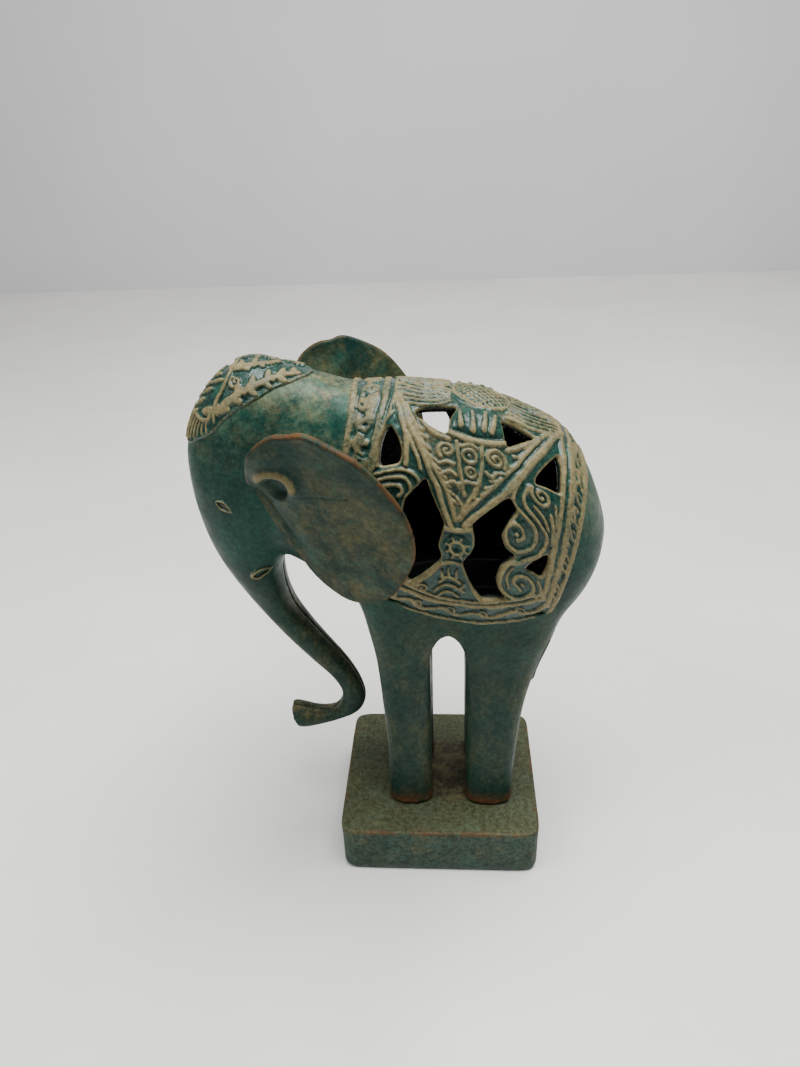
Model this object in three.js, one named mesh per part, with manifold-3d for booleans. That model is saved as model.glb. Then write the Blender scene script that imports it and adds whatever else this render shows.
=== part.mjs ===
// Openwork elephant still bank: two hollow body halves, ears, plinth and the hardware that joins them.
// Millimetres, +Z up. The origin is the centre of the plinth's underside. The elephant faces -X and
// its left flank faces -Y.
import * as THREE from "three";
import { mergeVertices } from "three/addons/utils/BufferGeometryUtils.js";
import Module from "manifold-3d";

const wasm = await Module();
wasm.setup();

// ---- Driving dimensions ----------------------------------------------------------------------
const GAP = 0.3;                 // clearance between pieces that touch
const FAR = 120;                 // longer than the object is wide, for cutting tools

const PLINTH_X = 70;
const PLINTH_Y = 59.4;
const PLINTH_H = 19.9;
const PLINTH_WALL = 5;
const PLINTH_TOP_WALL = 5.3;
const PLINTH_CORNER = 15;        // superellipse exponent of the plinth's plan
const BASE_PLATE_T = 2.5;
const BASE_SCREW_X = 25;
const BASE_SCREW_Y = 19.5;
const POST_R = 5;                // corner posts that take the base plate's screws
const POST_TO_WALL = [1.25, 1.3];  // how far each post's web runs outwards, as a share of its place

const CASTING_WALL = 3;          // body casting
const CAVITY_FLOOR = 103;        // underside of the coin space
const CAVITY_FROM = 0.5;         // loft stations where the hollow starts and ends
const CAVITY_TO = 10.2;

const LEG_X = [-10.4, 17.4];     // front and rear leg centres
const LEG_Y = 10.6;
const LEG_TOP = 112;
const LEG_CORNER = 3.4;          // superellipse exponent of the leg sections
const LEG_SLOT_W = 9;            // gap between the left and the right legs
const LEG_SLOT_TOP = 84;
const LEG_SLOT_X = [-23.5, 30.5];
const ARCH_X = 3.5;              // middle of the gap between front and rear legs
const ARCH_W = 11.4;
const ARCH_TOP = 97;

const SCREW_R = 2;               // tie screws and leg screws
const SCREW_HEAD_R = 3.4;
const SCREW_HEAD_H = 3;
const LEG_SCREW_TIP = 40;        // height the leg screws reach inside the legs
const WASHER_R = 4.6;
const WASHER_T = 1;
const BASE_SCREW_R = 1.2;
const BASE_SCREW_HEAD_R = 2.5;
const BASE_SCREW_HEAD_H = 1;
const BASE_SCREW_LENGTH = 9.4;
const BASE_SCREW_TIP = 10.6;
const DOWEL_R = 1.5;
const DOWEL_HALF = 5;
const EAR_PIN_R = 1.3;
const EAR_PIN_LENGTH = 8;
const EAR_PIN_DEPTH = 8;         // distance of the pin holes' ends from the middle plane
const EAR_PIN_HEAD_R = 2.4;
const EAR_PIN_HEAD_H = 1.3;
const EAR_T = 1.8;

// Stations of the body from the rump forward, over the neck and down to the trunk's tip:
// [outer x, outer z, inner x, inner z, half width, section exponent]
const STATIONS = [
  [51.0, 129, 51.0, 121, 3.5, 2],
  [48.6, 137, 48.6, 112, 11, 2.1],
  [43.9, 148, 44, 103, 17.3, 2.2],
  [36.3, 157.8, 36.3, 96, 21.4, 2.4],
  [23, 165, 23, 92, 24.6, 2.5],
  [9.6, 169.8, 9.6, 91, 25.6, 2.5],
  [-7.9, 172.3, -7.9, 93, 24, 2.4],
  [-21.9, 172.8, -24, 101, 19.6, 2.3],
  [-31, 175.4, -33.5, 110, 17.4, 2.2],
  [-41, 178.4, -41.5, 116, 16.4, 2.2],
  [-51.6, 180.1, -46.5, 118.5, 16.3, 2.2],
  [-60.3, 175.7, -48.7, 114.5, 15.8, 2.2],
  [-67.6, 167, -49.2, 110.5, 14.6, 2.2],
  [-71.9, 157, -48.9, 106, 13.2, 2.2],
  [-73, 146, -48.2, 101.5, 11.8, 2.2],
  [-72.5, 135, -46.8, 97, 10.4, 2.2],
  [-70.6, 123.5, -44.8, 93.2, 9, 2.1],
  [-66.6, 112.4, -42.8, 90.4, 7.6, 2.1],
  [-60.6, 100.6, -39.6, 85.4, 6.6, 2.1],
  [-52.6, 87.6, -35.6, 79.6, 5.9, 2.1],
  [-44.8, 76.8, -31.4, 73.4, 5.3, 2.1],
  [-38.4, 69, -28.4, 67.4, 4.8, 2.2],
  [-35, 63, -26.3, 61, 4.5, 2.3],
  [-34.2, 58.6, -26, 55.4, 4.2, 2.4],
  [-35.3, 54.2, -28.8, 50.6, 4, 2.6],
  [-38.4, 50.6, -35.2, 47.4, 4, 2.8],
  [-43.4, 50, -42.4, 44.8, 4.1, 3],
  [-48.8, 51.4, -48, 43.4, 4.5, 3.2],
  [-53.4, 52.6, -51.2, 43.4, 4.7, 3.2],
];

// Levels of one leg, foot to shoulder or hip: [z, front x, back x, inner y, outer y]
const FRONT_LEG = [
  [PLINTH_H + GAP, -18, -2.6, 4.2, 16.6],
  [45, -17.8, -2.3, 4.2, 16.8],
  [66, -18.6, -2.0, 3.6, 17.4],
  [82, -19.6, -0.4, 1, 18.4],
  [95, -21.8, 4.4, -4, 20.2],
  [LEG_TOP, -24.6, 8, -4, 21.4],
];
const REAR_LEG = [
  [PLINTH_H + GAP, 9.4, 25.6, 4.2, 16.6],
  [45, 9.2, 26.8, 4.2, 16.8],
  [66, 9.1, 28.8, 3.6, 17.4],
  [82, 7.6, 32.4, 1, 18.4],
  [95, 2.4, 37, -4, 20.2],
  [LEG_TOP, -2, 42.8, -4, 21.2],
];
const TAIL = [[46.2, 118], [44.6, 106], [40.6, 95], [36.6, 84.5], [32.6, 73], [30.8, 65]];
const TAIL_R = 2.7;

// Lattice windows: outlines in the side plane [x, z], cut from a depth outwards. The small ones are
// in both flanks. The large ones differ, since daylight shows through only high up on the far side.
const SMALL_WINDOWS = [
  { from: 6, outline: [[-11.1, 166.4], [-8.3, 161.5], [-8.8, 157.3], [-13.8, 156.1], [-14.3, 160]] },
  { from: 8.5, outline: [[-4.8, 168.8], [-1.5, 169.8], [7, 169.2], [4.8, 166.4], [4.3, 164.3], [0, 165.8]] },
  { from: 8.5, outline: [[18.8, 165.3], [23, 163.6], [28.3, 160.2], [19.6, 160.1]] },
  { from: 8.5, outline: [[34.7, 155.6], [35.2, 151], [34.9, 146.6], [27.6, 150.7], [31, 154.4]] },
  { from: 10, outline: [[32.3, 129.6], [32.2, 125.8], [30.4, 121.6], [25.7, 125.4], [27.9, 127.8]] },
];
const LEFT_WINDOWS = [
  { from: 10, outline: [[-1.8, 154], [0.2, 148], [3, 141.2], [1.2, 134.2], [2, 130.5], [-4.3, 123.5],
    [-7.5, 120.8], [-9.4, 129], [-9.5, 139], [-7, 149]] },
  { from: 10, outline: [[10.6, 141], [15, 144.8], [21, 148], [23, 143.8], [18.7, 137], [19.8, 133],
    [23, 130.3], [18.5, 126.5], [17.6, 121.5], [20.7, 115.6], [13.5, 115.4], [9.3, 122.5],
    [7.9, 128.6], [11.2, 134]] },
];
const RIGHT_WINDOWS = [
  { from: 10, outline: [[-5.4, 157.6], [-0.9, 159.4], [3.1, 157.8], [4.6, 153.5], [4.2, 146.7],
    [3.1, 141.2], [2.3, 138.3], [-4, 136.6], [-9.3, 137.9], [-9.3, 143.9], [-7.6, 149.9]] },
  { from: 10, outline: [[10.6, 141], [15, 144.8], [21, 148], [23, 143.8], [18.7, 137], [19.8, 133],
    [23, 130.3], [18.7, 127.6], [17.4, 124.8], [9.1, 127.4], [7.9, 128.6], [11.2, 133]] },
];

const EAR_RIM = [
  [-49.8, 147.2], [-49.3, 154], [-47, 162.6], [-44.4, 168.4], [-40.9, 171.8], [-37.3, 173.6],
  [-33.6, 174], [-29.8, 174.8], [-24, 172.6], [-17.3, 168.6], [-11.6, 162.4], [-7, 155],
  [-4.6, 147], [-4.3, 139], [-6.3, 131.6], [-9, 125], [-12.4, 119.2], [-16.5, 115.5],
  [-22.5, 113.7], [-27, 114.8], [-32, 119.2], [-37.2, 125.4], [-42.4, 130], [-46, 137.4],
];
const EAR_PLANE = { x: -47, y: 18, z: 128, perX: 0.37, perZ: 0.34 };
const EAR_ROOT = { from: [-49.8, 147.2], to: [-42.4, 129], y: 15.5, reach: 6 };
const EAR_LUG = [[-46, 148], [-43, 154], [-34, 153], [-32, 140], [-34, 131], [-40, 131]];
const EAR_LUG_FACE = 20.3;       // how far out the lug's flat side lies
const EAR_FLARE = { x: -44, z: 168, out: 3.2, reach: 7 };
const EAR_PINS = [[-37.5, 149], [-35, 138]];

const TIE_SCREWS = {
  head: { x: -60, z: 127, seat: 7.6, tip: 7 },
  shoulder: { x: -12, z: 93.5, seat: 14, tip: 13 },
  hip: { x: 27, z: 93.5, seat: 14, tip: 13 },
};
const DOWELS = { shoulder_dowel: [-19.5, 97.8], hip_dowel: [36.5, 98.5] };

// ---- Materials -------------------------------------------------------------------------------
const patina = new THREE.MeshStandardMaterial({ color: 0x2f5a50, roughness: 0.55, metalness: 0.35 });
const plinthPatina = new THREE.MeshStandardMaterial({ color: 0x34544a, roughness: 0.6, metalness: 0.35 });
const steel = new THREE.MeshStandardMaterial({ color: 0x7d7c78, roughness: 0.45, metalness: 0.9 });
const plate = new THREE.MeshStandardMaterial({ color: 0x3a3c3a, roughness: 0.7, metalness: 0.6 });

// ---- Solids ----------------------------------------------------------------------------------
function toSolid(geometry) {
  const bare = geometry.clone();
  bare.deleteAttribute("normal");
  bare.deleteAttribute("uv");
  const merged = mergeVertices(bare, 1e-4);
  const mesh = new wasm.Mesh({
    numProp: 3,
    vertProperties: new Float32Array(merged.attributes.position.array),
    triVerts: new Uint32Array(merged.index.array),
  });
  return new wasm.Manifold(mesh);
}

function toGeometry(solid) {
  const mesh = solid.getMesh();
  const geometry = new THREE.BufferGeometry();
  geometry.setAttribute("position", new THREE.BufferAttribute(mesh.vertProperties, 3));
  geometry.setIndex(new THREE.BufferAttribute(mesh.triVerts, 1));
  geometry.computeVertexNormals();
  return geometry;
}

function rounded(value, exponent) {
  return Math.abs(value) < 1e-6 ? 0 : Math.sign(value) * Math.abs(value) ** (2 / exponent);
}

// A cylinder whose rings follow place(v, across, side): v runs 0 to 1 along it, across and side are
// the ring's unit coordinates.
function bentCylinder(sides, steps, exponentAt, place) {
  const geometry = new THREE.CylinderGeometry(1, 1, 1, sides, steps);
  const position = geometry.attributes.position;
  for (let i = 0; i < position.count; i += 1) {
    const v = position.getY(i) + 0.5;
    const exponent = exponentAt(v);
    const across = rounded(position.getX(i), exponent);
    const side = rounded(position.getZ(i), exponent);
    const point = place(v, across, side);
    position.setXYZ(i, point.x, point.y, point.z);
  }
  return geometry;
}

function block(x0, x1, y0, y1, z0, z1) {
  const geometry = new THREE.BoxGeometry(x1 - x0, y1 - y0, z1 - z0);
  geometry.translate((x0 + x1) / 2, (y0 + y1) / 2, (z0 + z1) / 2);
  return toSolid(geometry);
}

// A round bar along Y between two depths.
function barY(x, z, radius, y0, y1, sides = 16) {
  const geometry = new THREE.CylinderGeometry(radius, radius, y1 - y0, sides);
  geometry.translate(x, (y0 + y1) / 2, z);
  return toSolid(geometry);
}

// A round bar along Z between two heights.
function barZ(x, y, radius, z0, z1, sides = 16) {
  const geometry = new THREE.CylinderGeometry(radius, radius, z1 - z0, sides);
  geometry.rotateX(Math.PI / 2);
  geometry.translate(x, y, (z0 + z1) / 2);
  return toSolid(geometry);
}

// A closed outline in the side plane, pushed along Y between two depths.
function sidePrism(outline, y0, y1) {
  const shape = new THREE.Shape(outline.map(([x, z]) => new THREE.Vector2(x, z)));
  const geometry = new THREE.ExtrudeGeometry(shape, { depth: y1 - y0, bevelEnabled: false });
  geometry.rotateX(Math.PI / 2);
  geometry.translate(0, y1, 0);
  return toSolid(geometry);
}

function mirrored(solid) {
  return solid.mirror([0, 1, 0]);
}

// ---- Body ------------------------------------------------------------------------------------
const outerLine = new THREE.CatmullRomCurve3(
  STATIONS.map(([x, z]) => new THREE.Vector3(x, 0, z)), false, "catmullrom", 0.5);
const innerLine = new THREE.CatmullRomCurve3(
  STATIONS.map((s) => new THREE.Vector3(s[2], 0, s[3])), false, "catmullrom", 0.5);
const widthLine = new THREE.CatmullRomCurve3(
  STATIONS.map((s) => new THREE.Vector3(s[4], s[5], 0)), false, "catmullrom", 0.5);

// The body's surface between two stations, moved outwards by grow (inwards when it is negative).
function bodyLoft(from, to, sides, steps, grow) {
  const last = STATIONS.length - 1;
  const along = (v) => (from + (to - from) * (1 - v)) / last;
  return toSolid(bentCylinder(sides, steps, (v) => widthLine.getPoint(along(v)).y, (v, across, side) => {
    const t = along(v);
    const outer = outerLine.getPoint(t);
    const inner = innerLine.getPoint(t);
    const half = outer.clone().sub(inner).multiplyScalar(0.5);
    const length = half.length();
    const middle = inner.add(half);
    const point = middle.addScaledVector(half, across * (length + grow) / length);
    point.y = side * (widthLine.getPoint(t).x + grow);
    return point;
  }));
}

function legLoft(levels) {
  const last = levels.length - 1;
  const edges = [1, 2, 3, 4].map((column) => new THREE.CatmullRomCurve3(
    levels.map((level) => new THREE.Vector3(level[column], 0, level[0])), false, "catmullrom", 0.5));
  return toSolid(bentCylinder(20, last * 2, () => LEG_CORNER, (v, across, side) => {
    const [front, back, inner, outer] = edges.map((edge) => edge.getPoint(v));
    const x = (front.x + back.x) / 2 + across * (back.x - front.x) / 2;
    const y = (inner.x + outer.x) / 2 + side * (outer.x - inner.x) / 2;
    return new THREE.Vector3(x, -y, front.z);
  }));
}

function archOutline() {
  const half = ARCH_W / 2;
  const spring = ARCH_TOP - 10;
  const shape = new THREE.Shape();
  shape.moveTo(ARCH_X - half, 0);
  shape.lineTo(ARCH_X + half, 0);
  shape.lineTo(ARCH_X + half, spring);
  shape.bezierCurveTo(ARCH_X + half, spring + 7, ARCH_X + 3, ARCH_TOP, ARCH_X, ARCH_TOP);
  shape.bezierCurveTo(ARCH_X - 3, ARCH_TOP, ARCH_X - half, spring + 7, ARCH_X - half, spring);
  return shape.getPoints(5).map((p) => [p.x, p.y]);
}

function wholeBody() {
  let solid = bodyLoft(0, STATIONS.length - 1, 24, 46, 0);
  for (const leg of [legLoft(FRONT_LEG), legLoft(REAR_LEG)]) {
    solid = solid.add(leg).add(mirrored(leg));
  }
  return solid;
}

function tail() {
  const path = new THREE.CatmullRomCurve3(TAIL.map(([x, z]) => new THREE.Vector3(x, 0, z)));
  const section = new THREE.Shape();
  section.absarc(0, 0, TAIL_R, 0, Math.PI * 2);
  return toSolid(new THREE.ExtrudeGeometry(section, { steps: 8, curveSegments: 8, extrudePath: path }));
}

function bodyHalf(side) {
  let solid = wholeBody().add(tail());
  solid = solid.subtract(sidePrism(archOutline(), -FAR, FAR));
  const slotHalf = LEG_SLOT_W / 2;
  const slot = block(LEG_SLOT_X[0], LEG_SLOT_X[1], -slotHalf, slotHalf, PLINTH_H - 1, LEG_SLOT_TOP);
  solid = solid.subtract(slot);
  const cavity = bodyLoft(CAVITY_FROM, CAVITY_TO, 20, 24, -CASTING_WALL)
    .intersect(block(-FAR, FAR, -FAR, FAR, CAVITY_FLOOR, 200));
  solid = solid.subtract(cavity);
  for (const { from, outline } of SMALL_WINDOWS.concat(side < 0 ? LEFT_WINDOWS : RIGHT_WINDOWS)) {
    solid = solid.subtract(side < 0 ? sidePrism(outline, -FAR, -from) : sidePrism(outline, from, FAR));
  }
  for (const screw of Object.values(TIE_SCREWS)) {
    solid = solid.subtract(barY(screw.x, screw.z, SCREW_R + GAP, -screw.tip - GAP, FAR / 2));
    solid = solid.subtract(barY(screw.x, screw.z, SCREW_HEAD_R + GAP, screw.seat, FAR / 2, 20));
  }
  for (const [x, z] of Object.values(DOWELS)) {
    solid = solid.subtract(barY(x, z, DOWEL_R + GAP, -DOWEL_HALF - GAP, DOWEL_HALF + GAP, 12));
  }
  for (const x of LEG_X) {
    for (const y of [-LEG_Y, LEG_Y]) {
      solid = solid.subtract(barZ(x, y, SCREW_R + GAP, 0, LEG_SCREW_TIP + GAP));
    }
  }
  for (const [x, z] of EAR_PINS) {
    solid = solid.subtract(barY(x, z, EAR_PIN_R + GAP, -FAR / 2, -EAR_PIN_DEPTH, 10));
    solid = solid.subtract(barY(x, z, EAR_PIN_R + GAP, EAR_PIN_DEPTH, FAR / 2, 10));
  }
  const seam = GAP / 2;
  const keep = side < 0 ? block(-FAR, FAR, -FAR, -seam, 0, 200) : block(-FAR, FAR, seam, FAR, 0, 200);
  return solid.intersect(keep);
}

// ---- Ears ------------------------------------------------------------------------------------
function distanceToRoot(x, z) {
  const start = new THREE.Vector3(...EAR_ROOT.from, 0);
  const end = new THREE.Vector3(...EAR_ROOT.to, 0);
  const point = new THREE.Vector3(x, z, 0);
  return new THREE.Line3(start, end).closestPointToPoint(point, true, new THREE.Vector3()).distanceTo(point);
}

// How far out from the middle plane the ear's sheet lies above a point of the side plane.
function earY(x, z) {
  const flat = EAR_PLANE.y + EAR_PLANE.perX * (x - EAR_PLANE.x) + EAR_PLANE.perZ * (z - EAR_PLANE.z);
  const away = distanceToRoot(x, z) / EAR_ROOT.reach;
  const pull = Math.exp(-away * away);
  const flare = EAR_FLARE.out
    * Math.exp(-(((x - EAR_FLARE.x) / EAR_FLARE.reach) ** 2) - ((z - EAR_FLARE.z) / EAR_FLARE.reach) ** 2);
  return flat + (EAR_ROOT.y - flat) * pull + flare;
}

function leftEar() {
  const rim = new THREE.CatmullRomCurve3(
    EAR_RIM.map(([x, z]) => new THREE.Vector3(x, 0, z)), true, "catmullrom", 0.5);
  const middle = new THREE.Vector3(-27, 0, 143);
  const rings = [0, 0.4, 0.62, 0.8, 0.92, 1];
  const profile = rings.map((r) => new THREE.Vector2(r, -0.5))
    .concat([...rings].reverse().map((r) => new THREE.Vector2(r, 0.5)));
  const disc = new THREE.LatheGeometry(profile, 34);
  const position = disc.attributes.position;
  for (let i = 0; i < position.count; i += 1) {
    const radius = Math.hypot(position.getX(i), position.getZ(i));
    const turn = (Math.atan2(position.getZ(i), position.getX(i)) / (Math.PI * 2) + 1) % 1;
    const edge = rim.getPoint(turn);
    const x = middle.x + (edge.x - middle.x) * radius;
    const z = middle.z + (edge.z - middle.z) * radius;
    position.setXYZ(i, x, -earY(x, z) - position.getY(i) * EAR_T, z);
  }
  let ear = toSolid(disc);
  const lug = sidePrism(EAR_LUG, -EAR_LUG_FACE, -12);
  const head = bodyLoft(6, 13, 24, 14, GAP);
  ear = ear.add(lug).subtract(head);
  for (const [x, z] of EAR_PINS) {
    ear = ear.subtract(barY(x, z, EAR_PIN_R + GAP, -EAR_LUG_FACE - 1, -EAR_PIN_DEPTH, 10));
  }
  return ear;
}

// ---- Fasteners -------------------------------------------------------------------------------
function headedPin(headR, headH, shankR, length, sides) {
  const profile = [[0, 0], [shankR, 0], [shankR, length], [headR, length],
    [headR, length + headH * 0.55], [headR * 0.72, length + headH], [0, length + headH]];
  return new THREE.LatheGeometry(profile.map(([r, y]) => new THREE.Vector2(r, y)), sides);
}

// A cross slot in the head of a pin that stands along +Y with its head at the top.
function slotted(geometry, headR, top) {
  const slot = new THREE.BoxGeometry(headR * 2.2, 1.6, 0.9);
  slot.translate(0, top, 0);
  return toSolid(geometry).subtract(toSolid(slot));
}

// ---- Plinth ----------------------------------------------------------------------------------
function plinthLoft(levels, grow) {
  const last = levels.length - 1;
  return toSolid(bentCylinder(48, last, () => PLINTH_CORNER, (v, across, side) => {
    const [z, inset] = levels[Math.round(v * last)];
    const x = across * (PLINTH_X / 2 - inset + grow);
    const y = -side * (PLINTH_Y / 2 - inset + grow);
    return new THREE.Vector3(x, y, z);
  }));
}

function plinth() {
  const outside = [[0, 1.1], [0.6, 0.4], [1.8, 0.1], [10, 0], [PLINTH_H - 0.5, 0], [PLINTH_H, 0.4]];
  const inside = [[-1, PLINTH_WALL], [PLINTH_H - PLINTH_TOP_WALL, PLINTH_WALL]];
  let solid = plinthLoft(outside, 0).subtract(plinthLoft(inside, 0));
  for (const [x, y] of cornerPlaces()) {
    const webX = [x, x * POST_TO_WALL[0]].sort((a, b) => a - b);
    const webY = [y, y * POST_TO_WALL[1]].sort((a, b) => a - b);
    const post = barZ(x, y, POST_R, BASE_PLATE_T + GAP, PLINTH_H - 2);
    solid = solid.add(post).add(block(...webX, ...webY, BASE_PLATE_T + GAP, PLINTH_H - 2));
    solid = solid.subtract(barZ(x, y, BASE_SCREW_R + GAP, 0, BASE_SCREW_TIP + 0.7, 12));
  }
  for (const x of LEG_X) {
    for (const y of [-LEG_Y, LEG_Y]) {
      solid = solid.subtract(barZ(x, y, SCREW_R + GAP, 5, 30));
    }
  }
  return solid;
}

function cornerPlaces() {
  const places = [];
  for (const x of [-BASE_SCREW_X, BASE_SCREW_X]) {
    for (const y of [-BASE_SCREW_Y, BASE_SCREW_Y]) {
      places.push([x, y]);
    }
  }
  return places;
}

function basePlate() {
  const levels = [[0, PLINTH_WALL + GAP], [BASE_PLATE_T, PLINTH_WALL + GAP]];
  let solid = plinthLoft(levels, 0);
  for (const [x, y] of cornerPlaces()) {
    solid = solid.subtract(barZ(x, y, BASE_SCREW_R + GAP, -1, BASE_PLATE_T + 1, 12));
    solid = solid.subtract(barZ(x, y, BASE_SCREW_HEAD_R + 0.1 + GAP, -1, BASE_SCREW_HEAD_H + 0.5, 16));
  }
  return solid;
}

// ---- Assembly --------------------------------------------------------------------------------
const bank = new THREE.Group();

function addPiece(name, shape, material, parent = bank) {
  const geometry = shape.isBufferGeometry ? shape : toGeometry(shape);
  const mesh = new THREE.Mesh(geometry, material);
  mesh.name = name;
  parent.add(mesh);
  return mesh;
}

addPiece("left_body_half", bodyHalf(-1), patina);
addPiece("right_body_half", bodyHalf(1), patina);

const ear = leftEar();
addPiece("left_ear", ear, patina);
addPiece("right_ear", mirrored(ear), patina);

const pinLevels = ["upper", "lower"];
EAR_PINS.forEach(([x, z], i) => {
  for (const [side, sign] of [["left", -1], ["right", 1]]) {
    const shape = headedPin(EAR_PIN_HEAD_R, EAR_PIN_HEAD_H, EAR_PIN_R, EAR_PIN_LENGTH, 12);
    const pin = addPiece(`${side}_ear_${pinLevels[i]}_pin`, toSolid(shape), steel);
    pin.rotation.x = sign < 0 ? Math.PI : 0;
    pin.position.set(x, sign * (EAR_LUG_FACE + GAP - EAR_PIN_LENGTH), z);
  }
});

for (const [name, { x, z, seat, tip }] of Object.entries(TIE_SCREWS)) {
  const length = seat + GAP + tip;
  const shape = slotted(headedPin(SCREW_HEAD_R, SCREW_HEAD_H, SCREW_R, length, 20), SCREW_HEAD_R,
    length + SCREW_HEAD_H);
  const screw = addPiece(`${name}_tie_screw`, shape, steel);
  screw.position.set(x, -tip, z);
}

for (const [name, [x, z]] of Object.entries(DOWELS)) {
  const dowel = addPiece(name, barY(0, 0, DOWEL_R, -DOWEL_HALF, DOWEL_HALF, 12), steel);
  dowel.position.set(x, 0, z);
}

addPiece("plinth", plinth(), plinthPatina);
addPiece("base_plate", basePlate(), plate);

const underTop = PLINTH_H - PLINTH_TOP_WALL;
const legNames = ["front", "rear"];
LEG_X.forEach((x, i) => {
  for (const [side, y] of [["left", -LEG_Y], ["right", LEG_Y]]) {
    const washerTop = underTop - GAP;
    const washerBottom = washerTop - WASHER_T;
    const washer = barZ(0, 0, WASHER_R, washerBottom, washerTop, 20)
      .subtract(barZ(0, 0, SCREW_R + GAP, 0, 20));
    addPiece(`${legNames[i]}_${side}_leg_washer`, washer, steel).position.set(x, y, 0);
    const seat = washerBottom - GAP;
    const length = LEG_SCREW_TIP - seat;
    const shape = slotted(headedPin(SCREW_HEAD_R, SCREW_HEAD_H, SCREW_R, length, 16), SCREW_HEAD_R,
      length + SCREW_HEAD_H);
    const screw = addPiece(`${legNames[i]}_${side}_leg_screw`, shape, steel);
    screw.rotation.x = -Math.PI / 2;
    screw.position.set(x, y, LEG_SCREW_TIP);
  }
});

cornerPlaces().forEach(([x, y], i) => {
  const pin = headedPin(BASE_SCREW_HEAD_R, BASE_SCREW_HEAD_H, BASE_SCREW_R, BASE_SCREW_LENGTH, 12);
  const shape = slotted(pin, BASE_SCREW_HEAD_R, BASE_SCREW_LENGTH + BASE_SCREW_HEAD_H);
  const screw = addPiece(`base_plate_screw_${i + 1}`, shape, steel);
  screw.rotation.x = -Math.PI / 2;
  screw.position.set(x, y, BASE_SCREW_TIP);
});

export default bank;
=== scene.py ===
"""Looks for the openwork elephant still bank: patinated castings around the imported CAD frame."""
import math

import bmesh
import bpy
import numpy as np
from mathutils import Matrix, Vector, noise


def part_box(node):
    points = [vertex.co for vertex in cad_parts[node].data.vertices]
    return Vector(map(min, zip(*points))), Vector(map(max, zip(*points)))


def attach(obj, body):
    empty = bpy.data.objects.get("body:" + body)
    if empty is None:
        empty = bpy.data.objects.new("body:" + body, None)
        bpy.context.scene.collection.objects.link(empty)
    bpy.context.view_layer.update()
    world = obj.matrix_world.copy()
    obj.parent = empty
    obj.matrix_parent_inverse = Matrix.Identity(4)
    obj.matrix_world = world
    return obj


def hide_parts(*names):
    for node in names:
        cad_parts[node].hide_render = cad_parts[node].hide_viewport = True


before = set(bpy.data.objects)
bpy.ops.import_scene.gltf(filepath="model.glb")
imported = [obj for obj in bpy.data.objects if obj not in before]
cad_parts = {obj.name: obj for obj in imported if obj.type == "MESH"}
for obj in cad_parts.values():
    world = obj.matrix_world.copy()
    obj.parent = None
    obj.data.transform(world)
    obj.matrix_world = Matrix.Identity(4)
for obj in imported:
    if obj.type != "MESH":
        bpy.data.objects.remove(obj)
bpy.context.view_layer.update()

MM = 0.001
SEAM = 0.05              # half the joint line between the two body halves, mm
WALL = 3.0               # casting thickness, mm
SKIN_VOXEL = 0.9         # mesh size of the plain body before it is cut, mm
CAST_VOXEL = 0.58        # mesh size of the finished castings, mm
RELIEF_STEP = 0.34       # mesh size of the blanket's relief, mm
FOOT_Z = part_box("left_body_half")[0].z / MM
SCREW_BOXES = [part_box(name + "_tie_screw") for name in ("head", "shoulder", "hip")]
TIE_SCREWS = [((low.x + high.x) / 2 / MM, (low.z + high.z) / 2 / MM, high.y / MM - 3) for low, high in SCREW_BOXES]
EYE_ANGLE = 1.434
MOUTH_ANGLE = 2.161
PLINTH_LOW, PLINTH_HIGH = (np.array(corner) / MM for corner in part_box("plinth"))

# Body from the rump forward, over the neck and down to the trunk's tip, mm:
# outer x, outer z, inner x, inner z, half width, section exponent
STATIONS = np.array([
    [51.0, 129, 51.0, 121, 3.5, 2],
    [48.6, 137, 48.6, 112, 11, 2.1],
    [43.9, 148, 44, 103, 17.3, 2.2],
    [36.3, 157.8, 36.3, 96, 21.4, 2.4],
    [23, 165, 23, 92, 24.6, 2.5],
    [9.6, 169.8, 9.6, 91, 25.6, 2.5],
    [-7.9, 172.3, -7.9, 93, 24, 2.4],
    [-21.9, 172.8, -24, 101, 19.6, 2.3],
    [-31, 175.4, -33.5, 110, 17.4, 2.2],
    [-41, 178.4, -41.5, 116, 16.4, 2.2],
    [-51.6, 180.1, -46.5, 118.5, 16.3, 2.2],
    [-60.3, 175.7, -48.7, 114.5, 15.8, 2.2],
    [-67.6, 167, -49.2, 110.5, 14.6, 2.2],
    [-71.9, 157, -48.9, 106, 13.2, 2.2],
    [-73, 146, -48.2, 101.5, 11.8, 2.2],
    [-72.5, 135, -46.8, 97, 10.4, 2.2],
    [-70.6, 123.5, -44.8, 93.2, 9, 2.1],
    [-66.6, 112.4, -42.8, 90.4, 7.6, 2.1],
    [-60.6, 100.6, -39.6, 85.4, 6.6, 2.1],
    [-52.6, 87.6, -35.6, 79.6, 5.9, 2.1],
    [-44.8, 76.8, -31.4, 73.4, 5.3, 2.1],
    [-38.4, 69, -28.4, 67.4, 4.8, 2.2],
    [-35, 63, -26.3, 61, 4.5, 2.3],
    [-34.2, 58.6, -26, 55.4, 4.2, 2.4],
    [-35.3, 54.2, -28.8, 50.6, 4, 2.6],
    [-38.4, 50.6, -35.2, 47.4, 4, 2.8],
    [-43.4, 50, -42.4, 44.8, 4.1, 3],
    [-48.8, 51.4, -48, 43.4, 4.5, 3.2],
    [-53.4, 52.6, -51.2, 43.4, 4.7, 3.2],
], float)

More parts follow.
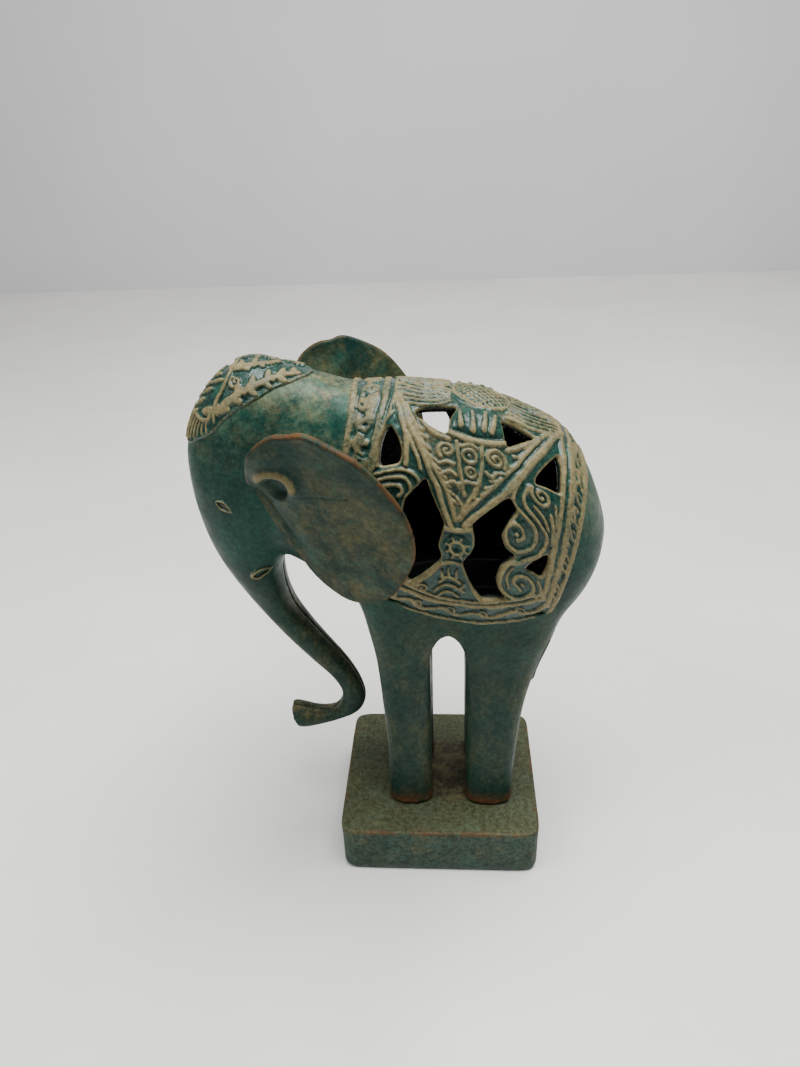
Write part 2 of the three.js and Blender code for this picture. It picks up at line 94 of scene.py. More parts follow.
# Levels of a leg, foot to body: z, front x, back x, inner y, outer y
FRONT_LEG = np.array([
    [FOOT_Z, -18, -2.6, 4.2, 16.6], [45, -17.8, -2.3, 4.2, 16.8], [66, -18.6, -2.0, 3.6, 17.4],
    [82, -19.6, -0.4, 1, 18.4], [95, -21.8, 4.4, -4, 20.2], [112, -24.6, 8, -4, 21.4]], float)
REAR_LEG = np.array([
    [FOOT_Z, 9.4, 25.6, 4.2, 16.6], [45, 9.2, 26.8, 4.2, 16.8], [66, 9.1, 28.8, 3.6, 17.4],
    [82, 7.6, 32.4, 1, 18.4], [95, 2.4, 37, -4, 20.2], [112, -2, 42.8, -4, 21.2]], float)
TAIL = np.array([[46.2, 118], [44.6, 106], [40.6, 95], [36.6, 84.5], [32.6, 73], [30.8, 65]], float)
TAIL_R = 2.7


# ---- Curves and meshes -----------------------------------------------------------------------
def spline(points, t):
    """Catmull-Rom curve through the rows of points, at t from 0 to 1."""
    points = np.asarray(points, float)
    padded = np.vstack([2 * points[0] - points[1], points, 2 * points[-1] - points[-2]])
    last = len(points) - 1
    u = np.clip(np.asarray(t, float) * last, 0, last - 1e-9)
    i = np.floor(u).astype(int)
    f = (u - i)[..., None]
    p0, p1, p2, p3 = padded[i], padded[i + 1], padded[i + 2], padded[i + 3]
    m1, m2 = (p2 - p0) / 2, (p3 - p1) / 2
    return (2 * p1 - 2 * p2 + m1 + m2) * f**3 + (3 * p2 - 3 * p1 - 2 * m1 - m2) * f**2 + m1 * f + p1


def closed_spline(points, count):
    points = np.asarray(points, float)
    ring = np.vstack([points[-2:], points, points[:3]])
    t = (2 + np.arange(count) / count * len(points)) / (len(ring) - 1)
    return spline(ring, t)


def rounded(value, exponent):
    return np.sign(value) * np.abs(value) ** (2 / exponent)


def body_point(station, angle, grow=0.0):
    """The body's surface: angle 0 is the spine, a quarter turn is the left flank (-Y)."""
    row = spline(STATIONS, np.asarray(station) / (len(STATIONS) - 1))
    outer, inner, width, exponent = row[..., 0:2], row[..., 2:4], row[..., 4], row[..., 5]
    half = (outer - inner) / 2
    length = np.linalg.norm(half, axis=-1)
    across = rounded(np.cos(angle), exponent) * (length + grow) / length
    xz = (outer + inner) / 2 + half * across[..., None]
    y = -rounded(np.sin(angle), exponent) * (width + grow)
    return np.stack([xz[..., 0], y, xz[..., 1]], -1)


def new_object(name, verts, faces, smooth=True):
    mesh = bpy.data.meshes.new(name)
    mesh.from_pydata((np.asarray(verts) * MM).tolist(), [], [list(map(int, f)) for f in faces])
    mesh.update()
    mesh.validate()
    if smooth:
        mesh.shade_smooth()
    obj = bpy.data.objects.new(name, mesh)
    bpy.context.scene.collection.objects.link(obj)
    return obj


def vertices_of(obj):
    co = np.empty(len(obj.data.vertices) * 3)
    obj.data.vertices.foreach_get("co", co)
    return co.reshape(-1, 3) / MM


def set_vertices(obj, co):
    obj.data.vertices.foreach_set("co", (co * MM).ravel())
    obj.data.update()


def normals_of(obj):
    out = np.empty(len(obj.data.vertices) * 3)
    obj.data.vertex_normals.foreach_get("vector", out)
    return out.reshape(-1, 3)


def set_mask(obj, name, values):
    attribute = obj.data.attributes.new(name, "FLOAT", "POINT")
    attribute.data.foreach_set("value", np.asarray(values, np.float32))


def ring_faces(rings, sides, offset=0, flip=False):
    """Quads between rings of vertices that close round, with an n-gon on each end."""
    faces = []
    for i in range(rings - 1):
        for j in range(sides):
            k = (j + 1) % sides
            faces.append([i * sides + j, i * sides + k, (i + 1) * sides + k, (i + 1) * sides + j])
    faces.append(list(range(sides))[::-1])
    faces.append([(rings - 1) * sides + j for j in range(sides)])
    if flip:
        faces = [f[::-1] for f in faces]
    return [[offset + i for i in f] for f in faces]


def loft(name, rings):
    """A closed body through an array of rings (rings, sides, 3), faces outwards."""
    count, sides, _ = rings.shape
    obj = new_object(name, rings.reshape(-1, 3), ring_faces(count, sides))
    fix_normals(obj)
    return obj


def fix_normals(obj):
    bm = bmesh.new()
    bm.from_mesh(obj.data)
    bmesh.ops.recalc_face_normals(bm, faces=bm.faces)
    bm.to_mesh(obj.data)
    bm.free()


def apply_modifiers(obj):
    depsgraph = bpy.context.evaluated_depsgraph_get()
    mesh = bpy.data.meshes.new_from_object(obj.evaluated_get(depsgraph))
    old = obj.data
    obj.modifiers.clear()
    obj.data = mesh
    mesh.name = obj.name
    bpy.data.meshes.remove(old)


def remesh(obj, voxel):
    modifier = obj.modifiers.new("skin", "REMESH")
    modifier.mode = "VOXEL"
    modifier.voxel_size = voxel * MM
    modifier.use_smooth_shade = True
    apply_modifiers(obj)


def joined(name, objects):
    bm = bmesh.new()
    for obj in objects:
        bm.from_mesh(obj.data)
    mesh = bpy.data.meshes.new(name)
    bm.to_mesh(mesh)
    bm.free()
    for obj in objects:
        bpy.data.objects.remove(obj)
    out = bpy.data.objects.new(name, mesh)
    bpy.context.scene.collection.objects.link(out)
    return out


def cut(obj, cutter, operation="DIFFERENCE"):
    modifier = obj.modifiers.new("cut", "BOOLEAN")
    modifier.operation = operation
    modifier.solver = "MANIFOLD"
    modifier.object = cutter
    apply_modifiers(obj)


def box_object(name, low, high):
    corners = [(x, y, z) for x in (low[0], high[0]) for y in (low[1], high[1]) for z in (low[2], high[2])]
    faces = [[0, 1, 3, 2], [4, 6, 7, 5], [0, 4, 5, 1], [2, 3, 7, 6], [0, 2, 6, 4], [1, 5, 7, 3]]
    return new_object(name, corners, faces, smooth=False)


def relax(obj, weight, rounds):
    """Laplacian smoothing, each vertex by its own weight."""
    co = vertices_of(obj)
    edges = np.empty(len(obj.data.edges) * 2, np.int64)
    obj.data.edges.foreach_get("vertices", edges)
    a, b = edges.reshape(-1, 2).T
    count = np.bincount(a, minlength=len(co)) + np.bincount(b, minlength=len(co))
    share = np.asarray(weight)[:, None]
    for _ in range(rounds):
        total = np.stack([
            np.bincount(a, co[b, k], len(co)) + np.bincount(b, co[a, k], len(co)) for k in range(3)], -1)
        co = co + share * (total / np.maximum(count, 1)[:, None] - co)
    set_vertices(obj, co)


def step(low, high, value):
    t = np.clip((np.asarray(value, float) - low) / (high - low), 0, 1)
    return t * t * (3 - 2 * t)


# ---- Plain body ------------------------------------------------------------------------------
def body_rings(first, last, steps, sides, grow=0.0):
    station, angle = np.meshgrid(
        np.linspace(first, last, steps), np.arange(sides) / sides * math.tau, indexing="ij")
    return body_point(station, angle, grow)


def leg_rings(levels, mirror, sides=40, steps=60):
    rows = spline(levels, np.linspace(0, 1, steps))
    angle = np.arange(sides) / sides * math.tau
    across, side = rounded(np.cos(angle), 3.2), rounded(np.sin(angle), 3.2)
    z, front, back, inner, outer = (rows[:, k, None] for k in range(5))
    weld = 0.8 * np.exp(-(z - FOOT_Z) / 0.8)
    front, back, inner, outer = front - weld, back + weld, inner - weld, outer + weld
    x = (front + back) / 2 + across * (back - front) / 2
    y = (inner + outer) / 2 + side * (outer - inner) / 2
    return np.stack([x, mirror * y, np.broadcast_to(z, x.shape)], -1)


def tail_rings(sides=16, steps=30):
    path = spline(TAIL, np.linspace(0, 1, steps))
    along = np.gradient(path, axis=0)
    along /= np.linalg.norm(along, axis=1, keepdims=True)
    angle = np.arange(sides) / sides * math.tau
    radius = TAIL_R * (1 - 0.12 * np.linspace(0, 1, steps))[:, None]
    out = np.cos(angle)[None] * radius
    x = path[:, 0, None] - along[:, 1, None] * out
    z = path[:, 1, None] + along[:, 0, None] * out
    return np.stack([x, np.sin(angle)[None] * radius, z], -1)


def plain_body():
    last = len(STATIONS) - 1
    parts = [loft("trunk_line", body_rings(0, last, 260, 72))]
    for levels in (FRONT_LEG, REAR_LEG):
        for mirror in (-1, 1):
            parts.append(loft("leg", leg_rings(levels, mirror)))
    parts.append(loft("tail", tail_rings()))
    body = joined("plain_body", parts)
    remesh(body, SKIN_VOXEL)
    co = vertices_of(body)
    hips = step(78, 92, co[:, 2]) * (1 - step(112, 124, co[:, 2])) * step(-30, -26, co[:, 0])
    relax(body, 0.5 * hips, 45)
    relax(body, np.full(len(co), 0.4), 4)
    return body


def arch_cutter():
    half, spring, top = 5.7, 86, 97
    turn = np.linspace(0, math.pi, 24)
    outline = [(3.5 + half, 0)] + [
        (3.5 + half * math.cos(t), spring + (top - spring) * math.sin(t)) for t in turn] + [(3.5 - half, 0)]
    return prism("arch", outline, -60, 60)


def prism(name, outline, y0, y1):
    count = len(outline)
    verts = [(x, y0, z) for x, z in outline] + [(x, y1, z) for x, z in outline]
    faces = [[i, (i + 1) % count, count + (i + 1) % count, count + i] for i in range(count)]
    faces += [list(range(count))[::-1], [count + i for i in range(count)]]
    obj = new_object(name, verts, faces, smooth=False)
    fix_normals(obj)
    return obj


# ---- Relief sheets ---------------------------------------------------------------------------
def polygon_gap(points, outline):
    """Signed distance of points to a closed outline, positive inside."""
    a = np.asarray(outline, float)
    b = np.roll(a, -1, axis=0)
    best = np.full(len(points), np.inf)
    inside = np.zeros(len(points), bool)
    x, y = points[:, 0], points[:, 1]
    for (ax, ay), (bx, by) in zip(a, b):
        dx, dy = bx - ax, by - ay
        t = np.clip(((x - ax) * dx + (y - ay) * dy) / max(dx * dx + dy * dy, 1e-12), 0, 1)
        best = np.minimum(best, (x - ax - t * dx) ** 2 + (y - ay - t * dy) ** 2)
        crosses = (ay > y) != (by > y)
        if dy:
            inside ^= crosses & (x < ax + (y - ay) * dx / dy)
    return np.where(inside, 1, -1) * np.sqrt(best)


def clipped_grid(low, high, pitch, field):
    """Flat mesh of the area where field(points) is positive: points, faces, rim edges."""
    ua = np.arange(low[0], high[0] + pitch, pitch)
    va = np.arange(low[1], high[1] + pitch, pitch)
    grid = np.stack(np.meshgrid(ua, va, indexing="ij"), -1)
    value = field(grid.reshape(-1, 2)).reshape(grid.shape[:2])
    value[0], value[-1], value[:, 0], value[:, -1] = -1, -1, -1, -1
    solid = value > 0
    number = np.full(solid.shape, -1)
    number[solid] = np.arange(solid.sum())
    points = [tuple(p) for p in grid[solid]]
    corners = solid[:-1, :-1].astype(int) + solid[1:, :-1] + solid[1:, 1:] + solid[:-1, 1:]
    full = np.argwhere(corners == 4)
    i, j = full.T
    faces = np.stack([number[i, j], number[i + 1, j], number[i + 1, j + 1], number[i, j + 1]], 1).tolist()
    crossing = {}
    rim = []

    def between(p, q):
        key = (p, q) if p < q else (q, p)
        if key not in crossing:
            fp, fq = value[p], value[q]
            t = min(max(fp / (fp - fq), 0.02), 0.98)
            crossing[key] = len(points)
            points.append(tuple(grid[p] + t * (grid[q] - grid[p])))
        return crossing[key]

    for i, j in np.argwhere((corners > 0) & (corners < 4)):
        ring = [(i, j), (i + 1, j), (i + 1, j + 1), (i, j + 1)]
        state = [bool(solid[c]) for c in ring]
        if sum(state) == 2 and state[0] == state[2]:
            for k in range(4):
                if state[k]:
                    enter, leave = between(ring[k - 1], ring[k]), between(ring[k], ring[(k + 1) % 4])
                    faces.append([enter, int(number[ring[k]]), leave])
                    rim.append((enter, leave))
            continue
        face = []
        for k in range(4):
            if state[k]:
                face.append(int(number[ring[k]]))
            if state[k] != state[(k + 1) % 4]:
                face.append(between(ring[k], ring[(k + 1) % 4]))
                if state[k]:
                    leave = face[-1]
                else:
                    enter = face[-1]
        faces.append(face)
        rim.append((enter, leave))
    return np.array(points), faces, rim


def thick_sheet(name, faces, rim, outer, inner):
    """A closed sheet between two skins that share one flat mesh."""
    count = len(outer)
    shell = faces + [[count + i for i in f[::-1]] for f in faces]
    shell += [[enter, leave, count + leave, count + enter] for enter, leave in rim]
    obj = new_object(name, np.vstack([outer, inner]), shell)
    fix_normals(obj)
    return obj


class Relief:
    """Heights drawn with strokes over scattered points of a flat pattern, mm."""

    def __init__(self, points):
        self.points = points
        self.height = np.zeros(len(points))
        self.tint = np.zeros(len(points))

    def raise_to(self, chosen, profile, height, on_top=False):
        """Raise points to a height, or by it, and dust them."""
        now = self.height[chosen]
        self.height[chosen] = now + height * profile if on_top else np.maximum(now, height * profile)
        self.tint[chosen] = np.maximum(self.tint[chosen], profile)

    def near(self, path, reach):
        low, high = path.min(0) - reach, path.max(0) + reach
        chosen = np.flatnonzero(((self.points > low) & (self.points < high)).all(1))
        start, run = path[:-1], path[1:] - path[:-1]
        length = np.maximum(np.linalg.norm(run, axis=1), 1e-9)
        gap = self.points[chosen][:, None] - start[None]
        t = np.clip((gap * run).sum(-1) / length**2, 0, 1)
        distance = np.linalg.norm(gap - t[..., None] * run, axis=-1)
        best = distance.argmin(1) if len(chosen) else np.zeros(0, int)
        row = np.arange(len(chosen))
        before = np.concatenate([[0], np.cumsum(length)[:-1]])
        along = before[best] + t[row, best] * length[best]
        return chosen, distance[row, best], along / length.sum()

    def ridge(self, stroke, width, height=0.75, taper=(1, 1), closed=False, wave=0.0, on_top=False):
        path = closed_spline(stroke, 8 * len(stroke)) if closed else spline(
            stroke, np.linspace(0, 1, 6 * len(stroke)))
        if closed:
            path = np.vstack([path, path[:1]])
        chosen, distance, along = self.near(path, width + 0.5)
        half = 1.18 * width * (taper[0] + (taper[1] - taper[0]) * along)
        half = half * (1 + wave * np.sin(along * 40 + 3 * np.sin(along * 17)))
        self.raise_to(chosen, 1 - step(0.45, 1.1, distance / half), height, on_top)

    def ridges(self, strokes, width, height=0.75, **options):
        for stroke in strokes:
            self.ridge(stroke, width, height, **options)

    def groove(self, stroke, width, depth=0.4):
        path = spline(stroke, np.linspace(0, 1, 6 * len(stroke)))
        chosen, distance, _ = self.near(path, width * 2)
        cut = np.exp(-((distance / width) ** 2))
        self.height[chosen] -= depth * cut
        self.tint[chosen] -= 0.8 * cut

    def leaf(self, base, tip, width, height=0.7):
        base, tip = np.array(base, float), np.array(tip, float)
        run = tip - base
        length = np.linalg.norm(run)
        gap = self.points - base
        along = gap @ run / length**2
        aside = np.abs(gap @ np.array([-run[1], run[0]])) / length
        half = width * np.sqrt(np.clip(4 * along * (1 - along), 0, 1))
        profile = 1 - step(0.5, 1.1, aside / np.maximum(half, 1e-3))
        self.raise_to(slice(None), np.where((along > 0) & (along < 1), profile, 0), height)

    def plate(self, outline, height, soft=0.5):
        gap = polygon_gap(self.points, outline)
        self.height = np.maximum(self.height, height * step(0, soft, gap))

    def ring(self, center, radius, width, height=0.75):
        distance = np.abs(np.linalg.norm(self.points - center, axis=1) - radius)
        self.raise_to(slice(None), 1 - step(0.45, 1.1, distance / width), height)

    def dot(self, center, radius, height=0.75):
        distance = np.linalg.norm(self.points - center, axis=1)
        self.raise_to(slice(None), 1 - step(0.3, 1.1, distance / radius), height)

    def pit(self, center, radius, depth=0.5):
        distance = np.linalg.norm(self.points - center, axis=1)
        profile = 1 - step(0.2, 1.2, distance / radius)
        self.height -= depth * profile
        self.tint -= profile

    def volute(self, center, radius, turns, start, width, height=0.75, hand=1):
        t = np.linspace(0, 1, 40)
        turn = start + hand * turns * math.tau * t
        reach = radius * (1 - 0.85 * t)
        self.ridge(np.stack([center[0] + reach * np.cos(turn), center[1] + reach * np.sin(turn)], 1),
                   width, height, taper=(1, 0.7))


# ---- Body surface in flat pattern coordinates ------------------------------------------------
class Unrolled:
    """Body surface by a run along the spine and the girth down the flank, mm."""

    def __init__(self, first, last, run):
        self.station = np.linspace(first, last, 240)
        angle = np.linspace(0, math.pi, 700)
        points = body_point(*np.meshgrid(self.station, angle, indexing="ij"))
        girth = np.cumsum(np.linalg.norm(np.diff(points, axis=1), axis=2), axis=1)
        girth = np.hstack([np.zeros((len(girth), 1)), girth])
        self.run = run(points[:, 0])
        self.order = np.argsort(self.run)
        self.girths = np.linspace(0, 90, 361)
        self.angle = np.stack([np.interp(self.girths, row, angle) for row in girth])

    def on_surface(self, u, v):
        station = np.interp(u, self.run[self.order], self.station[self.order])
        row = np.interp(station, self.station, np.arange(len(self.station)))
        column = np.clip(np.abs(v) * 4, 0, len(self.girths) - 1.001)
        i = np.clip(np.floor(row).astype(int), 0, len(self.station) - 2)
        j = np.floor(column).astype(int)
        f, g = row - i, column - j
        table = self.angle
        angle = (table[i, j] * (1 - f) * (1 - g) + table[i + 1, j] * f * (1 - g)
                 + table[i, j + 1] * (1 - f) * g + table[i + 1, j + 1] * f * g)
        point = body_point(station, angle)
        point[:, 1] *= np.where(v < 0, -1, 1)
        return point

    def lifted(self, points, lift):
        """Surface points raised along the surface normal."""
        u, v = points.T
        e = 0.4
        along = self.on_surface(u + e, v) - self.on_surface(u - e, v)
        around = self.on_surface(u, v + e) - self.on_surface(u, v - e)
        normal = np.cross(around, along)
        normal /= np.linalg.norm(normal, axis=1, keepdims=True)
        if self.run[0] < self.run[-1]:
            normal = -normal
        return self.on_surface(u, v) + normal * np.asarray(lift)[..., None]


def warped(points, reach=0.32, size=3.6):
    """Hand-laid unevenness of the wax threads."""
    out = np.empty_like(points)
    for k, (u, v) in enumerate(points):
        shift = noise.noise_vector(Vector((u / size, v / size, 3.3)))
        out[k] = (u + reach * shift[0], v + reach * shift[1])
    return out


# ---- Blanket ---------------------------------------------------------------------------------
BLANKET_EDGE = [
    (-22.5, -4), (-22.5, 0), (-22.8, 14.5), (-24.4, 24), (-24.4, 45), (-20.5, 62), (-14.7, 72.2), (-7.4, 75.5),
    (1.4, 78.3), (13.3, 78.9), (23.6, 73.9), (33.6, 66.7), (34.7, 64.4), (36.5, 57.2), (39.8, 38.8),
    (41.8, 23.8), (43.5, 9.7), (43.9, 0), (43.9, -4)]
SMALL_WINDOWS = [
    [(-11.1, 16.4), (-8.9, 20.6), (-8.1, 24.2), (-8.9, 27.2), (-13.7, 27.8), (-14.5, 26.9), (-13.9, 21.8),
     (-12.4, 17.6)],
    [(-4.8, 12.9), (-2.6, 11.1), (2.5, 10.1), (7, 9.3), (4.8, 14), (4.3, 18.7), (1.5, 17.6), (-1.6, 15.7),
     (-4, 14.1)],
    [(18.8, 10.3), (23, 10), (28.3, 11.6), (22, 16.9), (19.8, 18.7), (19.7, 15)],
    [(34.7, 12.9), (35.2, 17.3), (34.9, 24.1), (31.4, 24.4), (27.6, 25.1), (28.4, 22.7), (31, 18.4)],
    [(32.3, 43.6), (32.2, 47.4), (30.4, 52.9), (28.2, 51.8), (25.7, 51.8), (27.9, 48.3)]]
LARGE_WINDOWS = {
    "left": [
        [(-1.8, 30.9), (-0.6, 34.9), (1, 38.9), (3, 43.7), (2.3, 46.6), (1.1, 50.8), (2.1, 54.2), (1.5, 55.9),
         (-4.3, 61.7), (-7.5, 64.2), (-9.4, 55.8), (-9.5, 46), (-7.6, 37)],
        [(10.6, 42.9), (15, 37.7), (21, 31.8), (23.1, 34.9), (20.4, 39.6), (18.7, 43.8), (19.8, 47.5),
         (23, 48.7), (18.7, 53.5), (17.4, 59.1), (18.6, 62.8), (20.7, 64.6), (13.5, 67.5), (10.8, 63.5),
         (9.3, 59.9), (7.9, 55.8), (11.1, 50.8), (11.5, 48)]],
    "right": [
        [(-5.5, 27), (-1, 25), (3, 26.5), (4.6, 31), (4.2, 38), (3, 43.7), (2.3, 46.6), (-4, 48.5),
         (-9.3, 47), (-9.2, 41), (-7.6, 35)],
        [(10.6, 42.9), (15, 37.7), (21, 31.8), (23.1, 34.9), (20.4, 39.6), (18.7, 43.8), (19.8, 47.5),
         (23, 48.7), (18.7, 53.5), (17.4, 56.8), (9, 56.8), (7.9, 55.8), (11.1, 50.8), (11.5, 48)]]}


def dense(outline, pitch=1.0):
    """Outline with straight runs divided up, so that it may be sampled as a polygon."""
    out = []
    for a, b in zip(outline, outline[1:] + outline[:1]):
        a, b = np.array(a, float), np.array(b, float)
        count = max(1, int(np.linalg.norm(b - a) / pitch))
        out += [a + (b - a) * k / count for k in range(count)]
    return np.array(out)


def window_outline(points):
    """Window outline whose corners are slightly rounded, as filed wax would be."""
    path = dense(points, 0.5)
    for _ in range(4):
        path = (np.roll(path, 1, axis=0) + 2 * path + np.roll(path, -1, axis=0)) / 4
    return path


def strap_relief(r):
    """Broad girth strap: two cords, a pitted leafy band between them and a plain bar behind."""
    r.ridge([(-22, -3.7), (-21.8, 4.4), (-22, 12.2), (-22.9, 21), (-23.2, 34), (-22.3, 50), (-18.4, 64)], 1.35,
            wave=0.22)
    r.ridge([(-16.8, -4), (-16.8, 4), (-17.3, 9), (-18, 14), (-19.2, 20), (-19.8, 30), (-20, 40), (-18.6, 52),
             (-15.4, 64)], 2.2, 0.75, wave=0.3)
    for k, v in enumerate(np.arange(0.8, 62, 3.1)):
        u = -16.9 - 0.12 * v + 0.0018 * v * v + 1.1 * math.sin(v * 1.7)
        r.pit((u, v), 0.85 + 0.3 * math.sin(v * 2.9), 0.6)
        if k % 2:
            r.groove([(u - 1.7, v + 1.2), (u, v + 2.3), (u + 1.6, v + 1.6)], 0.32, 0.4)
    r.ridge([(-12.3, -4.7), (-12.6, 8), (-14.2, 16.9), (-16, 25.5), (-17, 38), (-16.4, 52), (-12.9, 64)], 1.15,
            wave=0.15)
    r.groove([(-11.2, -1), (-11.3, 7), (-12.8, 15.5), (-14.8, 23), (-15.7, 30)], 0.4, 0.5)
    r.ridge([(-10, -1), (-9.9, 6.1), (-11.5, 13.1), (-13.9, 20.5), (-15, 27.4)], 0.55, 0.7)
    r.tint = np.minimum(r.tint, 0.74)


def hem_relief(r):
    outer = [(-17.5, 69.6), (-14.2, 73), (-4.9, 76), (3.5, 77.7), (12.6, 77.9), (22.5, 73.8), (33, 66.6)]
    r.ridge(outer, 0.95, 0.8, wave=0.1)
    inner = [(-11.6, 65.2), (-6, 67.7), (-1, 69.8), (7, 70.5), (14, 69.9), (22.5, 66), (31.6, 59.4)]
    r.ridge(inner, 0.8, 0.75, wave=0.12)
    upper = [(-9.5, 63.9), (-4.6, 66.3), (0, 68.2), (7, 69), (13.5, 68.3), (21.6, 64.6), (30.6, 58.2)]
    r.ridge(upper, 0.6, 0.6)
    t = np.linspace(0, 1, 90)
    middle = (spline(outer, t) * 0.52 + spline(inner, t) * 0.48)
    across = spline(inner, t) - spline(outer, t)
    across /= np.linalg.norm(across, axis=1, keepdims=True)
    vine = middle + across * (1.05 * np.sin(t * 5 * math.tau + 0.6))[:, None]
    r.ridge(vine, 0.75, 0.65, wave=0.15)
    for k in range(5):
        center = spline(middle, (k + 0.38) / 5)
        r.ring(center + spline(across, (k + 0.4) / 5) * 0.7, 1.25, 0.4, 0.7)


def rear_relief(r):
    r.ridge([(35.9, -3), (35.7, 8), (35.8, 15), (35.3, 25.4), (33.8, 39.3), (32.5, 51.1), (31.2, 59.5)], 0.75, 0.75)
    r.ridge([(38.2, -3), (38.3, 12.5), (37.7, 23.4), (36.4, 37.3), (34.5, 51.2), (32.7, 62)], 0.9, 0.8, wave=0.1)
    r.ridge([(42.3, -5.7), (42.6, 1.2), (42.5, 11.1), (41.7, 19.5), (40.2, 32.6), (37.9, 48.2), (35, 61), (33, 66)],
            1.0, 0.8, wave=0.12)
    for u, v in ((40.6, 8), (40.2, 19), (38.9, 31), (37, 43), (34.8, 54.5)):
        turn = np.linspace(0, math.tau, 13)[:-1]
        r.ridge(np.stack([u + 1.2 * np.cos(turn), v + 2.9 * np.sin(turn)], 1), 0.5, 0.7, closed=True)
        r.dot((u, v), 0.8, 0.5)
        r.ridge([(u + 0.5, v - 7), (u - 0.4, v - 5.6), (u + 0.1, v - 3.8)], 0.7, 0.65, wave=0.3)


def spine_relief(r):
    """Rosette on the spine and the ribbed fronds before and behind it."""
    for v0, v1 in ((-2.6, 2.2), (0.2, 3.4), (3, 4.6), (5.6, 5.6), (7.8, 6.5), (9.8, 7.6)):
        middle = (v0 + v1) / 2 + 0.9
        r.ridge([(-9.2, v0), (-2.5, middle + 0.6), (2, middle), (5, v1)], 0.55, 0.75, taper=(0.9, 0.6))
    for v0, v1 in ((0.6, -2), (2.4, 0.2), (4.2, 2.2), (6, 4), (7.8, 5.8)):
        middle = (v0 + v1) / 2 + 1.1
        r.ridge([(20.6, v0), (26, middle + 1.2), (31, middle), (35.6, v1)], 0.55, 0.75, taper=(0.8, 0.7))
    r.ridge([(20, 8.8), (24, 8.9), (27.5, 9), (32, 8.2), (35.6, 6)], 0.7, 0.65)
    center = np.array([13.5, 0])
    gap = (r.points - center) / (7.6, 7.4)
    bulge = np.sqrt(np.clip(1 - (gap**2).sum(1), 0, 1))
    dome = 1.35 * bulge
    u, v = r.points.T
    lattice = np.abs(np.sin((u + v) * 1.45)) * np.abs(np.sin((u - v) * 1.45))
    inside = step(0.02, 0.3, bulge)
    cell = step(0.2, 0.6, lattice)
    r.height = r.height * (1 - inside) + inside * (dome - 0.4 * cell)
    r.tint = r.tint * (1 - inside) + inside * (1 - cell)
    turn = np.linspace(0, math.tau, 29)[:-1]
    r.ridge(np.stack([13.5 + 7.9 * np.cos(turn), 7.7 * np.sin(turn)], 1), 0.6, 0.7, closed=True, wave=0.25)


def urn_relief(r):
    outline = closed_spline([(5.2, 15.2), (6.9, 11.3), (11.9, 8.6), (17, 8), (19.1, 11.4), (18.6, 16), (12.1, 18),
                             (5.8, 17.2)], 48)
    gap = polygon_gap(r.points, outline)
    r.height = np.where(gap > 0, 0.9 * np.sqrt(np.clip(gap, 0, 3.6) / 3.6), r.height)
    r.tint = np.where(gap > 0, 0, r.tint)
    r.ridges([[(7.5, 11.2), (7.7, 16)], [(10.7, 11), (10.8, 16.9)], [(14.3, 10.2), (13.8, 16)],
              [(17, 10.6), (15.9, 16)]], 0.75, 0.5, taper=(0.7, 1.15), on_top=True)
    r.ridge([(4.4, 18.3), (10.1, 19.7), (16.1, 19.2), (19.7, 17.8)], 0.95, 1.0)
    r.groove([(6, 17.2), (12, 18.3), (18.3, 16.9)], 0.3, 0.4)


TRIANGLE = [(-8.8, 6.3), (35.9, 3.3), (8.6, 43.6), (5.2, 44.6)]


